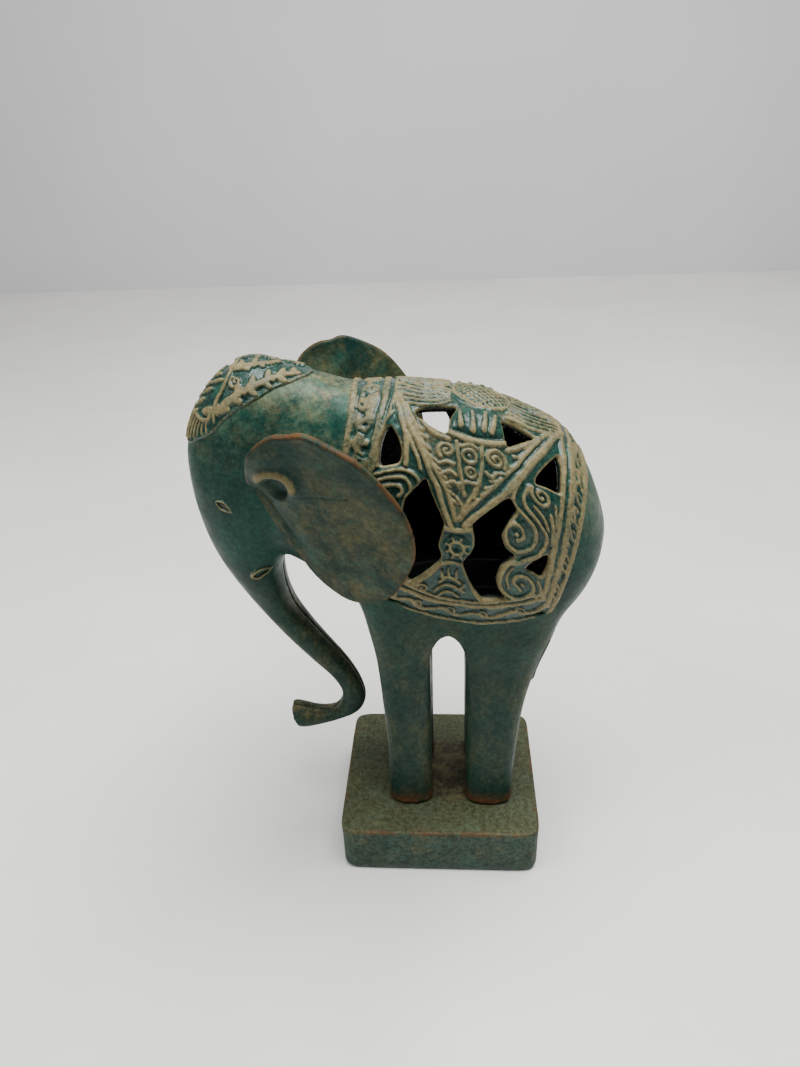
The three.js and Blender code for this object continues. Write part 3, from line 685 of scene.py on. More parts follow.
def triangle_relief(r):
    r.ridge([(-8.8, 6.3), (-6.2, 15.9), (-3, 22.9), (-0.9, 28.5), (1.4, 33.8), (3.7, 41.4), (5.2, 44.6)], 0.85, 0.85)
    r.ridge([(-4.6, 15.9), (-1.6, 23.8), (1.6, 29.8), (4.2, 35.2), (6, 42)], 0.6, 0.7)
    r.ridge([(35.9, 3.3), (30.8, 13.2), (25.4, 21.9), (20.5, 29.6), (15.2, 36.4), (8.6, 43.6)], 1.0, 0.85)
    r.ridge([(32.8, 6.6), (27.2, 15), (21.6, 23.6), (16.5, 30.4), (11.4, 36.2), (7.4, 41.6)], 0.6, 0.7)
    for k in range(8):
        t = 0.1 + 0.1 * k
        inner = spline([(-4.6, 15.9), (-1.6, 23.8), (1.6, 29.8), (4.2, 35.2), (6, 42)], t)
        r.ridge([inner + (0.2, -0.4), inner + (1.9, 1.0)], 0.38, 0.6)
        inner = spline([(30.5, 9.6), (27.2, 15), (21.6, 23.6), (16.5, 30.4), (11.4, 36.2)], t)
        r.ridge([inner + (-0.2, -0.3), inner + (-2.2, 0.4)], 0.38, 0.6)
    r.ridge([(-6.8, 10.5), (-4.6, 16.2), (-2.6, 18)], 0.6, 0.7)
    r.ridge([(-3.6, 13.4), (-1.4, 16.9), (1.5, 19.3), (4.4, 20.2)], 0.75, 0.75)
    r.ridge([(20.2, 19.7), (23.4, 17.2), (27.8, 13.2)], 0.6, 0.7)
    r.volute((3.9, 23.2), 2.3, 1.35, 2.4, 0.55, 0.75)
    r.volute((16.9, 23.2), 2.9, 1.7, 0.6, 0.6, 0.8, hand=-1)
    r.ring((9.9, 24), 1.75, 0.5, 0.75)
    r.ring((10.3, 28.3), 1.3, 0.45, 0.7)
    r.ridges([[(6.6, 20.6), (6.9, 24.4), (7.6, 29.3), (8.4, 34.6)], [(13.3, 20.6), (13.3, 25), (12.6, 30), (11, 35)],
              [(7.2, 31.6), (9.4, 30.9), (12.4, 31.2)], [(6.4, 35.6), (7.9, 37.9), (8.2, 40.6)],
              [(11.6, 32.6), (9.7, 36.4), (8.6, 40)], [(14.2, 27.4), (15.8, 28.4), (17, 27)],
              [(1.6, 26.6), (3.6, 26.2), (5.6, 26.9)], [(2.8, 29.4), (4.6, 28.8), (6.4, 29.6)],
              [(4, 32.2), (5.6, 31.6), (7.2, 32.6)], [(7.8, 21.6), (9.8, 20.9), (11.8, 21.7)]], 0.45, 0.65)
    for u, v, size in ((3.5, 25.3, .5), (4.2, 27.7, .6), (5, 30.6, .6), (8.8, 30, .5), (13.1, 32.1, 1.0),
                       (14.4, 29.6, .8), (6.3, 34.3, .5), (12.2, 34.4, .8), (14.6, 24.9, .5), (3.2, 20.9, .7),
                       (18.9, 27, .6), (6.6, 37.8, .4)):
        r.pit((u, v), size, 0.6)
    r.dot((9.9, 24), 0.6, 0.5)
    r.dot((10.3, 28.3), 0.55, 0.5)
    r.tint += 0.45 * step(0, 2.5, polygon_gap(r.points, np.array(TRIANGLE, dtype=float)))


def medallion_relief(r):
    center = np.array([6.5, 50.6])
    turn = (np.arange(8) + 0.5) / 8 * math.tau
    r.ridge([(3.1, 44.9), (6.6, 45.2), (10.8, 44.1)], 0.75, 0.9)
    r.plate(center + 4.4 * np.stack([np.cos(turn), np.sin(turn)], 1), 0.45, 0.6)
    r.ring(center, 1.9, 0.55, 0.95)
    for t in turn:
        arm = np.array([math.cos(t), math.sin(t)])
        r.ridge([center + 1.9 * arm, center + 3.4 * arm], 0.42, 0.85, taper=(1.1, 0.7))
        r.pit(center + 2.9 * np.array([math.cos(t + 0.39), math.sin(t + 0.39)]), 0.6, 0.45)
    r.pit(center, 1.0, 0.5)


def fan_relief(r):
    r.ridge([(2.2, 56.2), (5, 55.4), (8.8, 56)], 0.55, 0.85)
    r.ridge([(2, 56.6), (-1.2, 60.3), (-6.3, 64.6)], 0.5, 0.8)
    r.ridge([(8.5, 56.4), (9.4, 60), (11.2, 64.6), (13, 67.6)], 0.5, 0.8)
    r.ridge([(1.4, 62.5), (3.9, 60.6), (7.2, 62.3)], 0.5, 0.8)
    r.ridge([(-0.4, 66.1), (3.8, 63.2), (8.4, 65.6)], 0.5, 0.8)
    r.ridge([(0.2, 68.1), (3.8, 65.8), (6.7, 67.5)], 0.45, 0.75)
    r.ridges([[(2.1, 58.4), (2.3, 61.2)], [(4, 57.4), (4.1, 60.4)], [(6.6, 57.8), (6.1, 60.8)],
              [(8.3, 62.4), (7.6, 64.2)]], 0.45, 0.8, taper=(0.5, 1.1))
    r.volute((-3.5, 65.4), 1.7, 1.2, 3.3, 0.45, 0.8)


def scroll_relief(r):
    """S-shaped scroll between the triangle and the rear band."""
    r.ridge([(24.6, 24.6), (22.3, 28.5), (21.6, 32.3), (24, 34.7), (27.3, 37.2), (28.2, 40.8), (26.5, 44.4),
             (23.3, 46.8), (20.4, 45.4), (19.6, 42.1), (21.4, 38.9), (24, 39.2), (24.6, 41.6), (23, 43.3)],
            0.62, 0.85)
    r.ridge([(26, 27), (24.4, 30.4), (25.6, 33), (29.4, 36), (31.2, 38.6), (30.6, 42.4), (28.4, 46), (24.8, 49.3),
             (20.8, 52), (18.7, 56.5), (18.9, 60.8), (22.2, 63), (26.4, 61), (28.2, 57), (26.6, 54.3),
             (23.7, 54.7), (22.3, 57.4), (24.4, 59.4)], 0.62, 0.85)
    r.ridge([(22, 52.6), (20.4, 56.4), (21, 60.2)], 0.4, 0.6)
    r.volute((29.3, 27.8), 2.9, 1.5, 3.6, 0.6, 0.85, hand=-1)
    r.ridge([(32.2, 31.9), (32.9, 35.8), (33, 40)], 0.6, 0.75)
    r.ridge([(27.4, 31.6), (30.2, 33.4), (31.6, 36.2)], 0.5, 0.7)
    r.ridges([[(33.2, 28.5), (33.6, 31), (33.7, 34)], [(29.5, 54), (30.4, 57), (28.9, 60.4)],
              [(33, 41.6), (32.9, 44)]], 0.45, 0.7)
    r.dot((22.9, 41.6), 0.9, 0.75)
    r.dot((24.9, 57.4), 1.0, 0.75)


def curl_relief(r):
    """Shell curl under the front window and the ribs beside that window."""
    r.ridges([[(-15.2, 29.6), (-12.2, 29), (-8.3, 28.9), (-5.4, 29.8), (-3.6, 32), (-4.2, 35.6), (-6.4, 38.4)],
              [(-14.6, 31.4), (-11.4, 30.9), (-8.2, 31), (-6.2, 32.3), (-5.9, 34.6), (-7.3, 36.8)],
              [(-13.8, 33.4), (-10.6, 32.9), (-8.6, 33.6), (-8.2, 35.2), (-9.2, 36.2)]], 0.6, 0.75)
    r.ridge([(-9.4, 6.4), (-8.9, 12), (-7.4, 17), (-6.6, 22), (-7.2, 27.4)], 0.8, 0.75)
    r.ridge([(-7.2, 17.6), (-4.6, 23.4), (-3, 28.6)], 0.6, 0.7)
    r.ridge([(-10.2, 12.6), (-12.6, 16.2), (-14.9, 22.6), (-15.7, 28)], 0.5, 0.6)


def far_relief(r):
    """Extra scrolls where the far flank is closed and the near one is open."""
    for window in LARGE_WINDOWS["right"]:
        outline = np.array(window) + (np.array(window) - np.mean(window, axis=0)) * 0.14
        r.ridge(outline, 0.6, 0.8, closed=True)
    r.volute((-3.6, 55.2), 3.4, 1.6, 0.4, 0.6, 0.85)
    r.volute((14.6, 61.6), 3.2, 1.6, 2.2, 0.6, 0.85, hand=-1)
    r.ridges([[(-8.6, 51), (-8.4, 57), (-6.8, 63)], [(1.6, 49), (0.8, 53), (1.6, 57)],
              [(-6.6, 60.8), (-3.2, 62.4), (0, 60.6)], [(10, 58.6), (10.6, 63.6), (14, 67)]], 0.5, 0.75)


def blanket_heights(points, flank):
    r = Relief(warped(points))
    for draw in (strap_relief, rear_relief, hem_relief, curl_relief, triangle_relief, scroll_relief, fan_relief,
                 medallion_relief, spine_relief, urn_relief):
        draw(r)
    if flank == "right":
        far_relief(r)
    lumps = [noise.noise(Vector((u / 1.7, v / 1.7, 8.8))) for u, v in points]
    r.height += 0.16 * np.array(lumps)
    return r


BLANKET_BASE = -0.3      # level of the recesses against the plain body, mm
EDGE_ROUND = 0.75        # rounding of the window bars, mm
BACK_ROUND = 1.0


def rounding(gap, radius):
    """How far a rounded edge has dropped, a given distance in from the edge."""
    run = radius - np.clip(gap, 0, radius)
    return radius - np.sqrt(radius**2 - run**2)


def blanket(body_map, flank):
    border = dense(BLANKET_EDGE, 2)
    windows = [window_outline(w) for w in SMALL_WINDOWS + LARGE_WINDOWS[flank]]

    def edge_gap(points):
        gap = polygon_gap(points, border)
        for window in windows:
            gap = np.minimum(gap, -polygon_gap(points, window))
        return gap

    def field(points):
        return np.minimum(edge_gap(points), points[:, 1] - SEAM)

    points, faces, rim = clipped_grid((-25.2, -0.4), (44.6, 80), RELIEF_STEP, field)
    gap = edge_gap(points)
    r = blanket_heights(points, flank)
    height = r.height
    outer = body_map.lifted(points, BLANKET_BASE + height - rounding(gap, EDGE_ROUND))
    inner = body_map.lifted(points, rounding(gap, BACK_ROUND) - WALL)
    sheet = thick_sheet(flank + "_blanket", faces, rim, outer, inner)
    count = len(points)
    trim = 0.8 * (1 - step(0.35, 0.95, gap))
    set_mask(sheet, "relief", np.concatenate([np.maximum(r.tint, trim), np.zeros(count)]))
    # The back skin is marked to be painted black as shade inside the hollow body.
    set_mask(sheet, "inside", np.concatenate([np.zeros(count), np.ones(count)]))
    if flank == "right":
        sheet.data.transform(Matrix.Scale(-1, 4, (0, 1, 0)))
        sheet.data.flip_normals()
    return sheet


def blanket_cutter(body_map):
    border = dense(BLANKET_EDGE, 2)
    points, faces, rim = clipped_grid((-25, -3), (44, 80), 1.1, lambda p: polygon_gap(p, border) - 1.5)
    reach = np.full(len(points), 4.0)
    return thick_sheet("blanket_cutter", faces, rim, body_map.lifted(points, reach), body_map.lifted(points, -1.3 * reach))


def mirrored(obj, name):
    """The same piece for the other side of the joint."""
    out = obj.copy()
    out.data = obj.data.copy()
    out.name = name
    bpy.context.scene.collection.objects.link(out)
    out.data.transform(Matrix.Scale(-1, 4, (0, 1, 0)))
    out.data.flip_normals()
    return out


# ---- Forehead cap ----------------------------------------------------------------------------
# Drawn in millimetres along the spine, forward from station CAP_STATION, and down the flank
CAP_STATION = 7.5
CAP_EDGE = [(6, -4), (6, 0), (7.8, 3.6), (11.8, 7.7), (16.2, 10.5), (20.7, 14.2), (24.9, 16.6), (31.5, 17.6),
            (38.6, 17.3), (43.4, 15.4), (48, 12.4), (52.4, 9.6), (55.6, 6), (56.6, 0), (56.6, -4)]


def cap_relief(r):
    r.ridge([(7, -2), (8.2, 2.8), (11.9, 6.9), (16.4, 9.8), (20.9, 13.4), (25, 15.8), (31.5, 16.8), (38.4, 16.5),
             (43, 14.7), (47.6, 11.8), (51.9, 9), (54.9, 5.6), (55.9, 0)], 0.7, 0.35, wave=0.3)
    r.tint *= 0.55
    center = (36.3, 12.4)
    for tip, width in (((31.6, 15.6), 0.9), ((33.2, 9.6), 0.8), ((41.4, 9), 1.3), ((41, 13.2), 1.1),
                       ((37, 15.8), 0.8)):
        r.leaf(center, tip, width, 0.8)
    r.dot(center, 0.9, 0.9)
    r.ridge([(35.6, 12), (32.6, 9.9), (30.6, 7.6), (28.9, 4.2), (28, 0.6), (28, -2)], 0.75, 0.9, taper=(1, 0.6))
    spine = [(34.6, 13.6), (30.6, 13.6), (27.1, 12.9), (21.8, 10.4), (17.9, 7.9), (14.3, 5.5), (10.5, 3.6)]
    r.ridge(spine, 1.5, 0.9, taper=(0.9, 0.6), wave=0.25)
    for t, tip in ((0.1, (30, 16)), (0.26, (25.8, 15.2)), (0.42, (21.4, 13)), (0.58, (17.2, 10.2)),
                   (0.74, (13.2, 7.4)), (0.3, (26.4, 9.9)), (0.46, (22.4, 7.6)), (0.62, (18.4, 5)),
                   (0.78, (14.4, 3)), (0.9, (11.6, 1.8))):
        r.leaf(spline(spine, t), tip, 1.15, 0.8)
    upper = [(29, 3.4), (25.8, 4.6), (22.4, 3.6), (19.1, 2), (16, -0.5)]
    r.ridge(upper, 1.3, 0.85, taper=(1, 0.6), wave=0.25)
    for t, tip in ((0.2, (26.4, 1.4)), (0.45, (22.6, 0)), (0.3, (23.8, 6.2)), (0.6, (20, 4.4))):
        r.leaf(spline(upper, t), tip, 1.0, 0.75)
    r.volute((27.6, 9), 1.9, 1.3, 5.2, 0.5, 0.8)
    inner = [(47.6, 0), (46.6, 3.6), (44.6, 7.3), (42.6, 10.4), (39.6, 12.9)]
    outer = [(55, 0), (54.2, 4.4), (51, 8.4), (46.4, 11.6), (41.4, 14.8)]
    for k in range(9):
        t = k / 8
        r.ridge([spline(inner, t), (spline(inner, t) + spline(outer, t)) / 2 + (0.4, -0.3), spline(outer, t)],
                0.5, 0.75, taper=(0.6, 1.15))
    r.ridge(inner, 0.5, 0.65)
    for a in (34, 38, 42, 46):
        r.leaf((a + 2.4, 0.4), (a - 1.6, 3.4), 0.9, 0.75)
        r.leaf((a + 1.6, 4), (a - 2.4, 6.4), 0.9, 0.7)


def cap(head_map):
    outline = dense(CAP_EDGE, 1.5)
    points, faces, rim = clipped_grid((5, -0.4), (58, 19), RELIEF_STEP * 0.8,
                                      lambda p: np.minimum(polygon_gap(p, outline), p[:, 1] - SEAM))
    gap = polygon_gap(points, outline)
    r = Relief(warped(points, 0.15, 4))
    cap_relief(r)
    lift = 0.1 + r.height - 0.8 * (1 - step(0, 0.9, gap))
    sheet = thick_sheet("left_forehead_cap", faces, rim, head_map.lifted(points, lift),
                        head_map.lifted(points, np.full(len(points), -1.6)))
    set_mask(sheet, "relief", np.concatenate([r.tint, np.zeros(len(points))]))
    return sheet


# ---- Eye and mouth ---------------------------------------------------------------------------
def surface_patch(name, station, angle, along, size, draw):
    """Small relief on the head, centred on a body point, its first axis pointing along."""
    e = 0.01
    center = body_point(station, angle)
    per_station = (body_point(station + e, angle) - center) / e
    per_angle = (body_point(station, angle + e) - center) / e
    normal = np.cross(per_station, per_angle)
    normal /= np.linalg.norm(normal)
    if normal[1] > 0:
        normal = -normal
    first = np.array(along, float)
    first -= normal * (first @ normal)
    first /= np.linalg.norm(first)
    second = np.cross(normal, first)
    solve = np.linalg.pinv(np.stack([per_station, per_angle], 1))
    gap = lambda p: 1 - np.linalg.norm(p / size, axis=1)
    points, faces, rim = clipped_grid((-size[0] - 0.3, -size[1] - 0.3), (size[0] + 0.3, size[1] + 0.3), 0.13, gap)
    shift = (points[:, :1] * first + points[:, 1:] * second) @ solve.T
    base = body_point(station + shift[:, 0], angle + shift[:, 1])
    height, tint = draw(points)
    fade = step(0, 0.55, gap(points))
    lift = (0.16 + height) * fade - 0.5 * (1 - fade)
    sheet = thick_sheet(name, faces, rim, base + normal * lift[:, None], base - normal * 1.2)
    none = np.zeros(len(points))
    set_mask(sheet, "relief", np.concatenate([height * 2.6 * fade, none]))
    # Marks brown over the eye and painted shade in the mouth's slit.
    set_mask(sheet, "stain_and_shade", np.concatenate([tint * fade, none]))
    return sheet


def eye_shape(points):
    p, q = points.T
    almond = np.abs(q) / 1.35 + (np.abs(p) / 2.7) ** 1.8
    lid = np.exp(-(((almond - 1) / 0.26) ** 2))
    ball = np.clip(1 - (p / 1.5) ** 2 - (q / 0.85) ** 2, 0, 1)
    hollow = 1 - step(0.6, 0.95, almond)
    return 0.42 * lid - 0.34 * hollow + 0.3 * np.sqrt(ball), 1 - step(0.5, 0.8, almond)


def mouth_shape(points):
    p, q = points.T
    curve = q - 0.25 * np.sin(p * 0.9)
    lips = (np.abs(curve) / 1.25) ** 1.5 + (np.abs(p) / 3.6) ** 2.2
    rim = np.exp(-(((lips - 1) / 0.5) ** 2))
    slit = np.exp(-((curve / 0.5) ** 2)) * (1 - step(0.45, 0.95, np.abs(p) / 3.3))
    return 0.6 * rim - 0.95 * slit, 0.6 * slit


# ---- Ears ------------------------------------------------------------------------------------
EAR_RIM = [
    (-49.8, 147.2), (-49.3, 154), (-47, 162.6), (-44.4, 168.4), (-40.9, 171.8), (-37.3, 173.6), (-33.6, 174),
    (-29.8, 174.8), (-24, 172.6), (-17.3, 168.6), (-11.6, 162.4), (-7, 155), (-4.6, 147), (-4.3, 139),
    (-6.3, 131.6), (-9, 125), (-12.4, 119.2), (-16.5, 115.5), (-22.5, 113.7), (-27, 114.8), (-32, 119.2),
    (-37.2, 125.4), (-42.4, 130), (-46, 137.4)]
EAR_ROOT = np.array([(-49.8, 147.2), (-42.4, 129)])
EAR_LUG = [(-46, 148), (-43, 154), (-34, 153), (-32, 140), (-34, 131), (-40, 131)]
EAR_T = 1.8


def root_distance(points):
    a, b = EAR_ROOT
    t = np.clip(((points - a) @ (b - a)) / ((b - a) @ (b - a)), 0, 1)
    return np.linalg.norm(points - a - t[:, None] * (b - a), axis=1)


def ear_middle(points):
    """Middle surface of the left ear above points of the side plane."""
    x, z = points.T
    flat = 18 + 0.37 * (x + 47) + 0.34 * (z - 128)
    pull = np.exp(-((root_distance(points) / 6) ** 2))
    flare = 3.2 * np.exp(-(((x + 44) / 7) ** 2) - ((z - 168) / 7) ** 2)
    return np.stack([x, -(flat + (15.5 - flat) * pull + flare), z], -1)


def ear_relief(points):
    """Curled pocket near the root, with a crest over it, creases and a fine crack."""
    r = Relief(warped(points, 0.3, 5))
    offset = (r.points - (-40.4, 156.4)) / (4.7, 5.2)
    reach = np.linalg.norm(offset, axis=1)
    turn = np.arctan2(offset[:, 1], offset[:, 0])
    over = np.clip(0.55 + 0.85 * np.cos(turn - 1.25), 0, 1)
    crest = over * np.exp(-(((reach - 1) / np.where(reach > 1, 0.4, 0.24)) ** 2))
    pocket = 1 - step(0.5, 1.05, np.linalg.norm((r.points - (-40.9, 154.6)) / (3.7, 4.3), axis=1))
    r.height += 1.5 * crest - 2.4 * pocket
    r.tint += 1.25 * crest - pocket
    r.ridge([(-42.6, 147.6), (-41, 143.6), (-39.6, 139.6)], 0.8, 0.3, taper=(1, 0.3))
    r.tint *= 0.35 + 0.65 * step(147, 150, points[:, 1])
    r.groove([(-35.8, 153.1), (-28.3, 154.6), (-20.1, 155.6)], 0.16, 0.22)
    r.groove([(-44.6, 146.4), (-43, 141), (-41, 135)], 0.5, 0.25)
    return r, pocket


def ear():
    outline = closed_spline(EAR_RIM, 220)
    points, faces, rim = clipped_grid((-52, 111), (-2, 177), 0.42, lambda p: polygon_gap(p, outline))
    gap = polygon_gap(points, outline)
    e = 0.3
    middle = ear_middle(points)
    normal = np.cross(ear_middle(points + (e, 0)) - middle, ear_middle(points + (0, e)) - middle)
    normal /= np.linalg.norm(normal, axis=1, keepdims=True)
    normal *= -np.sign(normal[:, 1:2])
    r, pocket = ear_relief(points)
    relief = r.height
    roll = 0.55 * np.exp(-((gap / 1.6) ** 2)) * step(140, 165, points[:, 1] - 0.6 * points[:, 0] - 30)
    dish = 0.7 * step(0, 14, gap)
    front = EAR_T / 2 - rounding(gap, 0.7) + relief + roll - dish
    back = EAR_T / 2 - rounding(gap, 0.9) + dish * 0.9 + 2.4 * pocket
    back += 2.6 * np.exp(-((root_distance(points) / 5) ** 2))
    sheet = thick_sheet("left_ear_shape", faces, rim, middle + normal * front[:, None],
                        middle - normal * back[:, None])
    none = np.zeros(len(points))
    worn = 1 - step(0.1, 0.75, gap)
    set_mask(sheet, "relief", np.concatenate([r.tint, none]))
    set_mask(sheet, "rim", np.concatenate([worn, worn]))
    # The outer face is marked for painted shade that darkens it towards the top.
    set_mask(sheet, "outer", np.concatenate([none + 1, none]))
    # Painted shade: the pocket near the root is marked to be darkened.
    set_mask(sheet, "stain_and_shade", np.concatenate([pocket, none]))
    lug = prism("lug", EAR_LUG, -20.3, -12)
    return joined("left_ear_visual", [sheet, lug])


# ---- Plinth ----------------------------------------------------------------------------------
def plinth():
    """Cast plinth, open underneath, with worn edges and slightly wavy faces."""
    half = (PLINTH_HIGH - PLINTH_LOW)[:2] / 2
    top = PLINTH_HIGH[2]
    levels = [(14.6, 30), (14.6, 5), (0, 5), (0, 1.3), (0.25, 0.75), (0.8, 0.4), (1.8, 0.15)]
    levels += [(z, 0.05) for z in np.linspace(2.6, top - 1.6, 26)]
    turn = np.linspace(0, math.pi / 2, 7)[1:]
    levels += [(top - 1.1 + 1.1 * math.sin(t), 1.1 - 1.1 * math.cos(t)) for t in turn]
    levels += [(top, inset) for inset in np.linspace(1.7, 28.5, 44)]
    angle = np.arange(288) / 288 * math.tau
    across, side = rounded(np.cos(angle), 15), rounded(np.sin(angle), 15)
    rings = []
    for z, inset in levels:
        rings.append(np.stack([across * (half[0] - inset), side * (half[1] - inset),
                               np.full(len(angle), float(z))], -1))
    obj = loft("plinth_shape", np.array(rings))
    co, normal = vertices_of(obj), normals_of(obj)
    ripple = np.array([noise.noise(Vector(p / 9)) + 0.4 * noise.noise(Vector(p / 2.6)) for p in co])
    skin = (co[:, 2] > 0.9) & (np.abs(co[:, 2] - 14.6) > 0.01)
    co += normal * (0.16 * ripple * skin - 0.1)[:, None]
    set_vertices(obj, co)
    to_side = np.minimum(half[0] - np.abs(co[:, 0]), half[1] - np.abs(co[:, 1]))
    set_mask(obj, "rim", np.exp(-(((to_side - 0.3) ** 2 + (co[:, 2] - top + 0.3) ** 2) / 0.9)))
    return obj


# ---- Materials -------------------------------------------------------------------------------
DEEP_TEAL = (0.002, 0.028, 0.023)
TEAL = (0.003, 0.050, 0.037)
SEA_GREEN = (0.028, 0.108, 0.074)
VERDIGRIS = (0.150, 0.230, 0.145)
SLATE_GREEN = (0.011, 0.028, 0.017)
OCHRE = (0.150, 0.122, 0.045)
TAN = (0.285, 0.218, 0.092)
RUST = (0.120, 0.045, 0.015)
BROWN = (0.045, 0.022, 0.010)
BLACK = (0.002, 0.003, 0.003)


class Nodes:
    """Short helpers over one material's node tree."""

    def __init__(self, name):
        self.material = bpy.data.materials.new(name)
        self.material.use_nodes = True
        self.tree = self.material.node_tree
        self.shader = self.tree.nodes["Principled BSDF"]
        self.place = self.tree.nodes.new("ShaderNodeTexCoord").outputs["Object"]

    def link(self, value, socket):
        if isinstance(value, bpy.types.NodeSocket):
            self.tree.links.new(value, socket)
        elif isinstance(value, tuple):
            socket.default_value = (*value, 1)
        else:
            socket.default_value = value

    def noise(self, size, detail=4.0, rough=0.55, distort=0.0, offset=0.0, stretch=None):
        """Noise with features of the given size in millimetres, 0 to 1."""
        place = self.place
        if offset or stretch:
            mapping = self.tree.nodes.new("ShaderNodeMapping")
            mapping.inputs["Location"].default_value = (offset, offset * 0.7, offset * 1.3)
            mapping.inputs["Scale"].default_value = stretch or (1, 1, 1)
            self.tree.links.new(place, mapping.inputs["Vector"])
            place = mapping.outputs["Vector"]
        node = self.tree.nodes.new("ShaderNodeTexNoise")
        node.inputs["Scale"].default_value = 1000 / size
        node.inputs["Detail"].default_value = detail
        node.inputs["Roughness"].default_value = rough
        node.inputs["Distortion"].default_value = distort
        self.tree.links.new(place, node.inputs["Vector"])
        return node.outputs["Fac"]

    def cells(self, size):
        node = self.tree.nodes.new("ShaderNodeTexVoronoi")
        node.inputs["Scale"].default_value = 1000 / size
        self.tree.links.new(self.place, node.inputs["Vector"])
        return node.outputs["Distance"]

    def mask(self, name):
        node = self.tree.nodes.new("ShaderNodeAttribute")
        node.attribute_name = name
        return node.outputs["Fac"]

    def upward(self):
        """1 on faces that look up, 0 on faces that look down."""
        split = self.tree.nodes.new("ShaderNodeSeparateXYZ")
        geometry = self.tree.nodes.new("ShaderNodeNewGeometry")
        self.tree.links.new(geometry.outputs["Normal"], split.inputs["Vector"])
        return self.ramp(split.outputs["Z"], -0.2, 1.0)

    def coordinate(self, axis):
        split = self.tree.nodes.new("ShaderNodeSeparateXYZ")
        self.tree.links.new(self.place, split.inputs["Vector"])
        return split.outputs[axis]

    def math(self, kind, a, b=0.0):
        node = self.tree.nodes.new("ShaderNodeMath")
        node.operation = kind
        self.link(a, node.inputs[0])
        self.link(b, node.inputs[1])
        return node.outputs[0]

    def ramp(self, value, low, high, start=0.0, end=1.0):
        node = self.tree.nodes.new("ShaderNodeMapRange")
        node.interpolation_type = "SMOOTHSTEP"
        self.link(value, node.inputs["Value"])
        node.inputs["From Min"].default_value = low
        node.inputs["From Max"].default_value = high
        node.inputs["To Min"].default_value = start
        node.inputs["To Max"].default_value = end
        return node.outputs["Result"]

    def mix(self, factor, a, b):
        node = self.tree.nodes.new("ShaderNodeMix")
        node.data_type = "RGBA"
        self.link(factor, node.inputs["Factor"])
        self.link(a, node.inputs["A"])
        self.link(b, node.inputs["B"])
        return node.outputs["Result"]

    def grain(self, color, size, offset, strength=0.55, lift=0.35):
        """Fine speckle that darkens and lightens a colour."""
        fine = self.ramp(self.noise(size, 5, 0.85, 0.0, offset), 0.38, 0.62)
        darker = self.mix(strength, color, BLACK)
        lighter = self.mix(strength * lift, color, VERDIGRIS)
        return self.mix(fine, darker, lighter)

    def bump(self, layers):
        """Stacked bump from (height, strength, depth in millimetres) layers."""
        normal = None
        for height, strength, depth in layers:
            node = self.tree.nodes.new("ShaderNodeBump")
            node.inputs["Strength"].default_value = strength
            node.inputs["Distance"].default_value = depth * MM
            self.link(height, node.inputs["Height"])
            if normal:
                self.tree.links.new(normal, node.inputs["Normal"])
            normal = node.outputs["Normal"]
        self.tree.links.new(normal, self.shader.inputs["Normal"])

    def finish(self, color, rough, metallic=0.0, specular=0.5, coat=0.0):
        self.link(color, self.shader.inputs["Base Color"])
        self.link(rough, self.shader.inputs["Roughness"])
        self.shader.inputs["Metallic"].default_value = metallic
        self.shader.inputs["Specular IOR Level"].default_value = specular
        self.shader.inputs["Coat Weight"].default_value = coat
        self.shader.inputs["Coat Roughness"].default_value = 0.28
        return self.material


def smooth_patina():
    """Head, trunk, rump and legs: waxed teal with cloudy verdigris and ochre lower down."""
    n = Nodes("body_patina_smooth")
    color = n.mix(n.ramp(n.noise(26, 4, 0.6, 0.4), 0.36, 0.62), DEEP_TEAL, TEAL)
    cloud = n.ramp(n.noise(14, 9, 0.74, 0.5, 0.31), 0.48, 0.7)
    color = n.mix(n.math("MULTIPLY", cloud, 0.6), color, SEA_GREEN)
    # Faces that look up get patches of lighter verdigris and of tan.
    top = n.math("MULTIPLY", n.upward(), n.ramp(n.noise(10, 10, 0.78, 0.3, 0.77), 0.42, 0.68))
    color = n.mix(n.math("MULTIPLY", top, 0.95), color, VERDIGRIS)
    low = n.ramp(n.coordinate("Z"), 0.125, 0.085)
    ochre = n.math("MULTIPLY", low, n.ramp(n.noise(11, 10, 0.8, 0.3, 0.13, (1, 1, 0.5)), 0.43, 0.66))
    color = n.mix(n.math("MULTIPLY", low, 0.6), color, SLATE_GREEN)
    legs = n.ramp(n.coordinate("Z"), 0.098, 0.07)
    color = n.mix(n.math("MULTIPLY", legs, 0.6), color, DEEP_TEAL)
    color = n.mix(n.math("MULTIPLY", ochre, 0.34), color, OCHRE)
    upward_tan = n.math("MULTIPLY", n.upward(), n.ramp(n.noise(8, 10, 0.86, 0.3, 0.19), 0.44, 0.64))
    color = n.mix(n.math("MULTIPLY", upward_tan, 0.6), color, TAN)
    dust = n.ramp(n.noise(1.5, 6, 0.8, 0.2, 0.5), 0.58, 0.74)
    dust = n.math("MULTIPLY", dust, n.ramp(n.noise(12, 4, 0.6, 0, 0.66), 0.42, 0.66))
    color = n.mix(n.math("MULTIPLY", dust, 0.55), color, TAN)
    foot = n.math("MULTIPLY", n.ramp(n.coordinate("Z"), 0.027, 0.0205), n.ramp(n.noise(5), 0.3, 0.6))
    color = n.mix(foot, color, RUST)
    speck = n.ramp(n.cells(5.5), 0.075, 0.045)
    color = n.mix(n.math("MULTIPLY", speck, n.ramp(n.noise(22, offset=0.9), 0.5, 0.6)), color, BROWN)
    color = n.grain(color, 1.6, 0.27, 0.4, 0.12)
    # Painted shade: the inside of the hollow body is painted black.
    color = n.mix(n.mask("inside"), color, BLACK)
    rough = n.ramp(n.noise(9, 6, 0.75), 0.3, 0.75, 0.34, 0.6)
    n.bump([(n.noise(7, 3), 0.25, 0.5), (n.noise(0.9, 3, 0.6), 0.12, 0.12)])
    return n.finish(color, rough, metallic=0.05, specular=0.13)


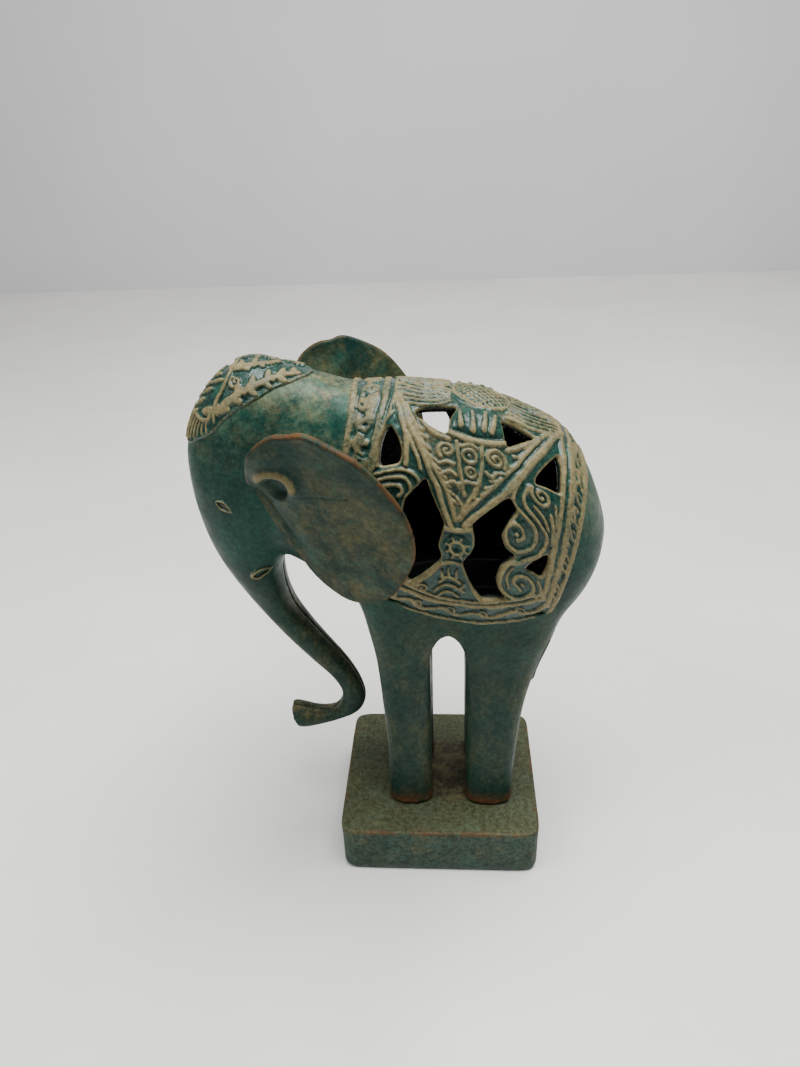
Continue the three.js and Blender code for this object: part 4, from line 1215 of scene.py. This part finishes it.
def relief_patina():
    """Chased ornament: glossy teal recesses, tan dust on everything that stands proud."""
    n = Nodes("body_patina_relief")
    color = n.mix(n.ramp(n.noise(7, 5, 0.7, 0.3), 0.4, 0.66), DEEP_TEAL, TEAL)
    color = n.mix(n.ramp(n.noise(5, 6, 0.75, 0.5, 0.2), 0.52, 0.74), color, SEA_GREEN)
    ragged = n.math("MULTIPLY", n.noise(1.5, 8, 0.85, 0.4, 0.6), 1.7)
    broad = n.math("MULTIPLY", n.noise(11, 3, 0.5, 0.2, 0.45), 0.9)
    raised = n.math("MINIMUM", n.mask("relief"), 0.85)
    dust = n.ramp(n.math("ADD", raised, n.math("ADD", ragged, broad)), 1.62, 2.3)
    color = n.mix(n.math("MULTIPLY", dust, 0.9), color, TAN)
    worn = n.math("MULTIPLY", n.mask("relief"), n.ramp(n.noise(1.3, 6, 0.85, 0.3, 2.1), 0.54, 0.66))
    color = n.mix(n.math("MULTIPLY", worn, 0.75), color, TEAL)
    warm = n.math("MULTIPLY", dust, n.ramp(n.noise(3.4, 5, 0.7, 0, 0.9), 0.48, 0.7))
    color = n.mix(n.math("MULTIPLY", warm, 0.45), color, OCHRE)
    rust = n.ramp(n.noise(2.6, 5, 0.65, 0.2, 1.4), 0.64, 0.74)
    color = n.mix(n.math("MULTIPLY", rust, 0.7), color, RUST)
    color = n.grain(color, 1.1, 0.57, 0.4)
    # Brown over the eye, and painted shade in the mouth's slit.
    color = n.mix(n.math("MULTIPLY", n.mask("stain_and_shade"), 0.8), color, BROWN)
    # Painted shade: the inside of the hollow body is painted black.
    color = n.mix(n.mask("inside"), color, BLACK)
    rough = n.math("ADD", n.ramp(dust, 0, 1, 0.25, 0.62), n.ramp(n.noise(2.5), 0.4, 0.7, -0.05, 0.1))
    n.bump([(n.noise(2.2, 4, 0.65), 0.45, 0.4), (n.noise(0.6, 3, 0.6), 0.3, 0.12)])
    return n.finish(color, rough, metallic=0.05, specular=0.32)


def ear_patina():
    n = Nodes("ear_patina_sheet")
    color = n.mix(n.ramp(n.noise(21, 4, 0.6, 0.4, 0.21), 0.4, 0.6), DEEP_TEAL, SLATE_GREEN)
    ochre = n.ramp(n.noise(12, 10, 0.8, 0.3, 0.83), 0.42, 0.7)
    color = n.mix(n.math("MULTIPLY", ochre, 0.74), color, OCHRE)
    green = n.ramp(n.noise(10, 9, 0.78, 0.4, 0.37), 0.46, 0.7)
    color = n.mix(n.math("MULTIPLY", green, 0.5), color, SEA_GREEN)
    scratch = n.ramp(n.noise(2.2, 6, 0.8, 0, 0.1, (1.6, 1, 0.35)), 0.58, 0.74)
    color = n.mix(n.math("MULTIPLY", scratch, 0.55), color, OCHRE)
    ragged = n.math("ADD", n.mask("relief"), n.math("MULTIPLY", n.noise(1.7, 6, 0.8), 0.6))
    color = n.mix(n.ramp(ragged, 0.7, 1.2, 0, 0.9), color, TAN)
    # Painted shade: the outer face darkens towards the top of the ear.
    shade = n.math("MULTIPLY", n.mask("outer"), n.ramp(n.coordinate("Z"), 0.142, 0.166, 0, 0.45))
    color = n.mix(shade, color, DEEP_TEAL)
    color = n.grain(color, 1.4, 0.17, 0.4, 0.08)
    # Painted shade: the pocket near the ear's root is darkened towards deep teal.
    color = n.mix(n.math("MULTIPLY", n.mask("stain_and_shade"), 0.9), color, DEEP_TEAL)
    rim = n.math("MULTIPLY", n.mask("rim"), n.ramp(n.noise(5, 5, 0.75), 0.38, 0.58))
    color = n.mix(n.math("MULTIPLY", rim, 0.7), color, RUST)
    rough = n.ramp(n.noise(8, 6, 0.75), 0.3, 0.75, 0.4, 0.64)
    n.bump([(n.noise(6, 3), 0.3, 0.5), (n.noise(0.9, 4, 0.65), 0.2, 0.14)])
    return n.finish(color, rough, metallic=0.05, specular=0.1)


def plinth_patina():
    n = Nodes("plinth_patina_cast")
    color = n.mix(n.ramp(n.noise(19, 5, 0.65, 0.5), 0.38, 0.62), DEEP_TEAL, SLATE_GREEN)
    green = n.ramp(n.noise(10, 9, 0.76, 0.5, 0.4), 0.47, 0.68)
    color = n.mix(n.math("MULTIPLY", green, 0.55), color, SEA_GREEN)
    ochre = n.ramp(n.noise(11, 10, 0.8, 0.3, 0.9), 0.5, 0.7)
    color = n.mix(n.math("MULTIPLY", ochre, 0.5), color, OCHRE)
    color = n.mix(n.math("MULTIPLY", n.upward(), 0.4), color, OCHRE)
    # Brown earth stain on the plinth top between the legs, partly painted shade under the belly.
    feet = n.math("MULTIPLY", n.ramp(n.math("ABSOLUTE", n.coordinate("X")), 0.026, 0.008),
                  n.ramp(n.math("ABSOLUTE", n.coordinate("Y")), 0.024, 0.006))
    feet = n.math("MULTIPLY", feet, n.ramp(n.coordinate("Z"), 0.019, 0.0196))
    stain_and_shade = n.ramp(n.math("ADD", feet, n.math("MULTIPLY", n.noise(7, 8, 0.75), 0.7)), 0.68, 1.15)
    earth = n.mix(n.ramp(n.noise(4, 6, 0.7, 0, 0.7), 0.42, 0.62), BROWN, OCHRE)
    color = n.mix(n.math("MULTIPLY", stain_and_shade, 0.85), color, earth)
    dust = n.ramp(n.noise(1.3, 6, 0.8), 0.6, 0.74)
    color = n.mix(n.math("MULTIPLY", dust, 0.5), color, TAN)
    color = n.grain(color, 1.7, 0.47, 0.45)
    rim = n.math("MULTIPLY", n.mask("rim"), n.ramp(n.noise(6, 5, 0.75, 0, 0.2), 0.4, 0.62))
    color = n.mix(n.math("MULTIPLY", rim, 0.7), color, RUST)
    rough = n.ramp(n.noise(6, 6, 0.75), 0.3, 0.75, 0.42, 0.7)
    n.bump([(n.noise(5, 4), 0.4, 0.5), (n.noise(0.8, 4, 0.65), 0.3, 0.16)])
    return n.finish(color, rough, metallic=0.05, specular=0.2)


def blackened():
    n = Nodes("base_plate_blackened")
    color = n.mix(n.ramp(n.noise(9, 5, 0.7), 0.4, 0.7), BLACK, (0.03, 0.032, 0.03))
    color = n.mix(n.math("MULTIPLY", n.ramp(n.noise(4, 5, 0.7, 0, 0.5), 0.58, 0.75), 0.5), color, RUST)
    n.bump([(n.noise(1.2, 4), 0.3, 0.15)])
    return n.finish(color, n.ramp(n.noise(5), 0.3, 0.7, 0.5, 0.75), metallic=0.5)


def steel():
    n = Nodes("fastener_steel_zinc")
    color = n.mix(n.ramp(n.noise(2.5, 4, 0.6), 0.4, 0.7), (0.13, 0.13, 0.12), (0.06, 0.055, 0.05))
    color = n.mix(n.math("MULTIPLY", n.ramp(n.noise(1.4, 4, 0.7, 0, 0.4), 0.62, 0.75), 0.5), color, RUST)
    n.bump([(n.noise(0.5, 3), 0.15, 0.05)])
    return n.finish(color, n.ramp(n.noise(1.5), 0.3, 0.7, 0.3, 0.5), metallic=0.9)


def painted_steel():
    """Pin heads painted over with the body and rubbed."""
    n = Nodes("fastener_steel_painted")
    color = n.mix(n.ramp(n.noise(1.8, 5, 0.7), 0.42, 0.66), DEEP_TEAL, SLATE_GREEN)
    color = n.mix(n.ramp(n.noise(1.1, 5, 0.8, 0, 0.3), 0.5, 0.66, 0, 0.7), color, BROWN)
    n.bump([(n.noise(0.6, 3), 0.2, 0.05)])
    return n.finish(color, n.ramp(n.noise(1.5), 0.3, 0.7, 0.4, 0.6), metallic=0.1, specular=0.2)


def counter_paint():
    n = Nodes("floor_paint")
    color = n.mix(n.ramp(n.noise(160, 4, 0.6), 0.35, 0.7), (0.79, 0.785, 0.74), (0.86, 0.855, 0.81))
    n.bump([(n.noise(4, 3), 0.02, 0.2)])
    return n.finish(color, n.ramp(n.noise(60), 0.3, 0.7, 0.32, 0.42), specular=0.4)


def wall_paint():
    n = Nodes("backdrop_paint")
    color = n.mix(n.ramp(n.noise(220, 3, 0.5), 0.35, 0.7), (0.70, 0.685, 0.695), (0.73, 0.715, 0.725))
    n.bump([(n.noise(3, 4, 0.6), 0.06, 0.4)])
    return n.finish(color, 0.8, specular=0.2)


# ---- Assembly --------------------------------------------------------------------------------
def wear(obj, material, node=None):
    """Give a piece its material and tie it to the frame."""
    obj.data.materials.clear()
    obj.data.materials.append(material)
    obj.data.shade_smooth()
    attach(obj, "root")
    if node:
        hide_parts(node)


def castings(material):
    plain = plain_body()
    tools = [arch_cutter(), box_object("slot", (-23.5, -4.5, 0), (30.5, 4.5, 84))]
    for tool in tools:
        cut(plain, tool)
    cavity = loft("cavity", body_rings(0.5, 10.2, 80, 48, -WALL))
    above = box_object("above", (-200, -200, 103), (200, 200, 300))
    cut(cavity, above, "INTERSECT")
    cut(plain, cavity)
    hole = blanket_cutter(flank_map)
    for side, name in ((-1, "left_body_half"), (1, "right_body_half")):
        half = plain.copy()
        half.data = plain.data.copy()
        half.name = name + "_casting"
        bpy.context.scene.collection.objects.link(half)
        low, high = sorted((side * SEAM, side * 100))
        keep = box_object("keep", (-200, low, -10), (200, high, 300))
        cut(half, keep, "INTERSECT")
        cut(half, hole)
        if side > 0:
            for x, z, seat in TIE_SCREWS:
                bore = prism("bore", disc(x, z, 3.7), seat, 60)
                cut(half, bore)
                bpy.data.objects.remove(bore)
        remesh(half, CAST_VOXEL)
        bpy.data.objects.remove(keep)
        hole.data.transform(Matrix.Scale(-1, 4, (0, 1, 0)))
        hole.data.flip_normals()
        # Faces inside the hollow, turned towards the body's axis above z 101 mm, are marked to be painted black as
        # shade.
        co, out = vertices_of(half), normals_of(half)
        from_axis = co - np.stack([co[:, 0], np.zeros(len(co)), np.full(len(co), 132.0)], 1)
        hidden = ((out * from_axis).sum(1) < 0) & (co[:, 2] > 101) & (co[:, 0] > -33)
        set_mask(half, "inside", hidden)
        print(half.name, len(half.data.polygons))
        wear(half, material, name)
    for obj in [plain, hole, cavity, above, *tools]:
        bpy.data.objects.remove(obj)


def disc(x, z, radius, sides=40):
    return [(x + radius * math.cos(k / sides * math.tau), z + radius * math.sin(k / sides * math.tau))
            for k in range(sides)]


flank_map = Unrolled(0.8, 8.6, lambda spine: spine[:, 0])
head_map = Unrolled(CAP_STATION, 19, lambda spine: np.concatenate(
    [[0], np.cumsum(np.linalg.norm(np.diff(spine, axis=0), axis=1))]))
smooth, relief, sheet_metal, cast = smooth_patina(), relief_patina(), ear_patina(), plinth_patina()
castings(smooth)
for flank in ("left", "right"):
    panel = blanket(flank_map, flank)
    print(panel.name, len(panel.data.polygons))
    wear(panel, relief)
left_pieces = [
    (cap(head_map), "forehead_cap"),
    (surface_patch("left_eye", 12.23, EYE_ANGLE, (0.80, -0.26, -0.54), np.array((4.4, 3.0)), eye_shape), "eye"),
    (surface_patch("left_mouth", 13.0, MOUTH_ANGLE, (0.90, 0.27, 0.33), np.array((5.4, 3.2)), mouth_shape), "mouth")]
for piece, name in left_pieces:
    wear(mirrored(piece, "right_" + name), relief)
    wear(piece, relief)
left_ear = ear()
wear(mirrored(left_ear, "right_ear_visual"), sheet_metal, "right_ear")
wear(left_ear, sheet_metal, "left_ear")
wear(plinth(), cast, "plinth")


# ---- Carried-over nodes ----------------------------------------------------------------------
plate_black, zinc, painted = blackened(), steel(), painted_steel()
for name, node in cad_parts.items():
    finish_of = {"base_plate": plate_black, "plinth": cast}
    if name.endswith("body_half"):
        finish_of[name] = smooth
    if name.endswith("_ear"):
        finish_of[name] = sheet_metal
    if "_ear_" in name:
        finish_of[name] = painted
    for k in range(len(node.data.materials)):
        node.data.materials[k] = finish_of.get(name, zinc)

# ---- Camera, floor and light -----------------------------------------------------------------
WALL_Y = 900             # distance of the backdrop behind the bank, mm


def camera():
    data = bpy.data.cameras.new("camera")
    data.sensor_width = 36
    data.lens = 25.98
    data.clip_start = 0.01
    obj = bpy.data.objects.new("camera", data)
    right = Vector((0.9977, 0.0544, -0.0407))
    up = Vector((0.0072, 0.5105, 0.8599))
    back = right.cross(up)
    turn = Matrix((right, up, back)).transposed().to_4x4()
    obj.matrix_world = Matrix.Translation((0.0052, -0.2061, 0.2458)) @ turn
    bpy.context.scene.collection.objects.link(obj)
    bpy.context.scene.camera = obj


def area_light(name, place, target, size, power):
    data = bpy.data.lights.new(name, "AREA")
    data.shape = "DISK"
    data.size = size
    data.energy = power
    obj = bpy.data.objects.new(name, data)
    obj.location = place
    direction = Vector(target) - Vector(place)
    obj.rotation_euler = direction.to_track_quat("-Z", "Y").to_euler()
    bpy.context.scene.collection.objects.link(obj)


def stage():
    size = 1.5 / MM
    floor = new_object("floor", [(-size, -size, 0), (size, -size, 0), (size, WALL_Y, 0), (-size, WALL_Y, 0)],
                       [[0, 1, 2, 3]])
    floor.data.materials.append(counter_paint())
    wall = new_object("backdrop", [(-size, WALL_Y, 0), (size, WALL_Y, 0), (size, WALL_Y, size), (-size, WALL_Y, size)],
                      [[0, 1, 2, 3]])
    wall.data.materials.append(wall_paint())
    world = bpy.data.worlds.new("studio")
    bpy.context.scene.world = world
    world.use_nodes = True
    world.node_tree.nodes["Background"].inputs["Color"].default_value = (0.80, 0.80, 0.83, 1)
    world.node_tree.nodes["Background"].inputs["Strength"].default_value = 0.26
    area_light("overhead", (0.12, -0.02, 0.95), (0, 0, 0.1), 0.7, 18)
    area_light("window", (-0.5, -0.25, 0.75), (0, 0, 0.12), 0.4, 2.5)


camera()
stage()
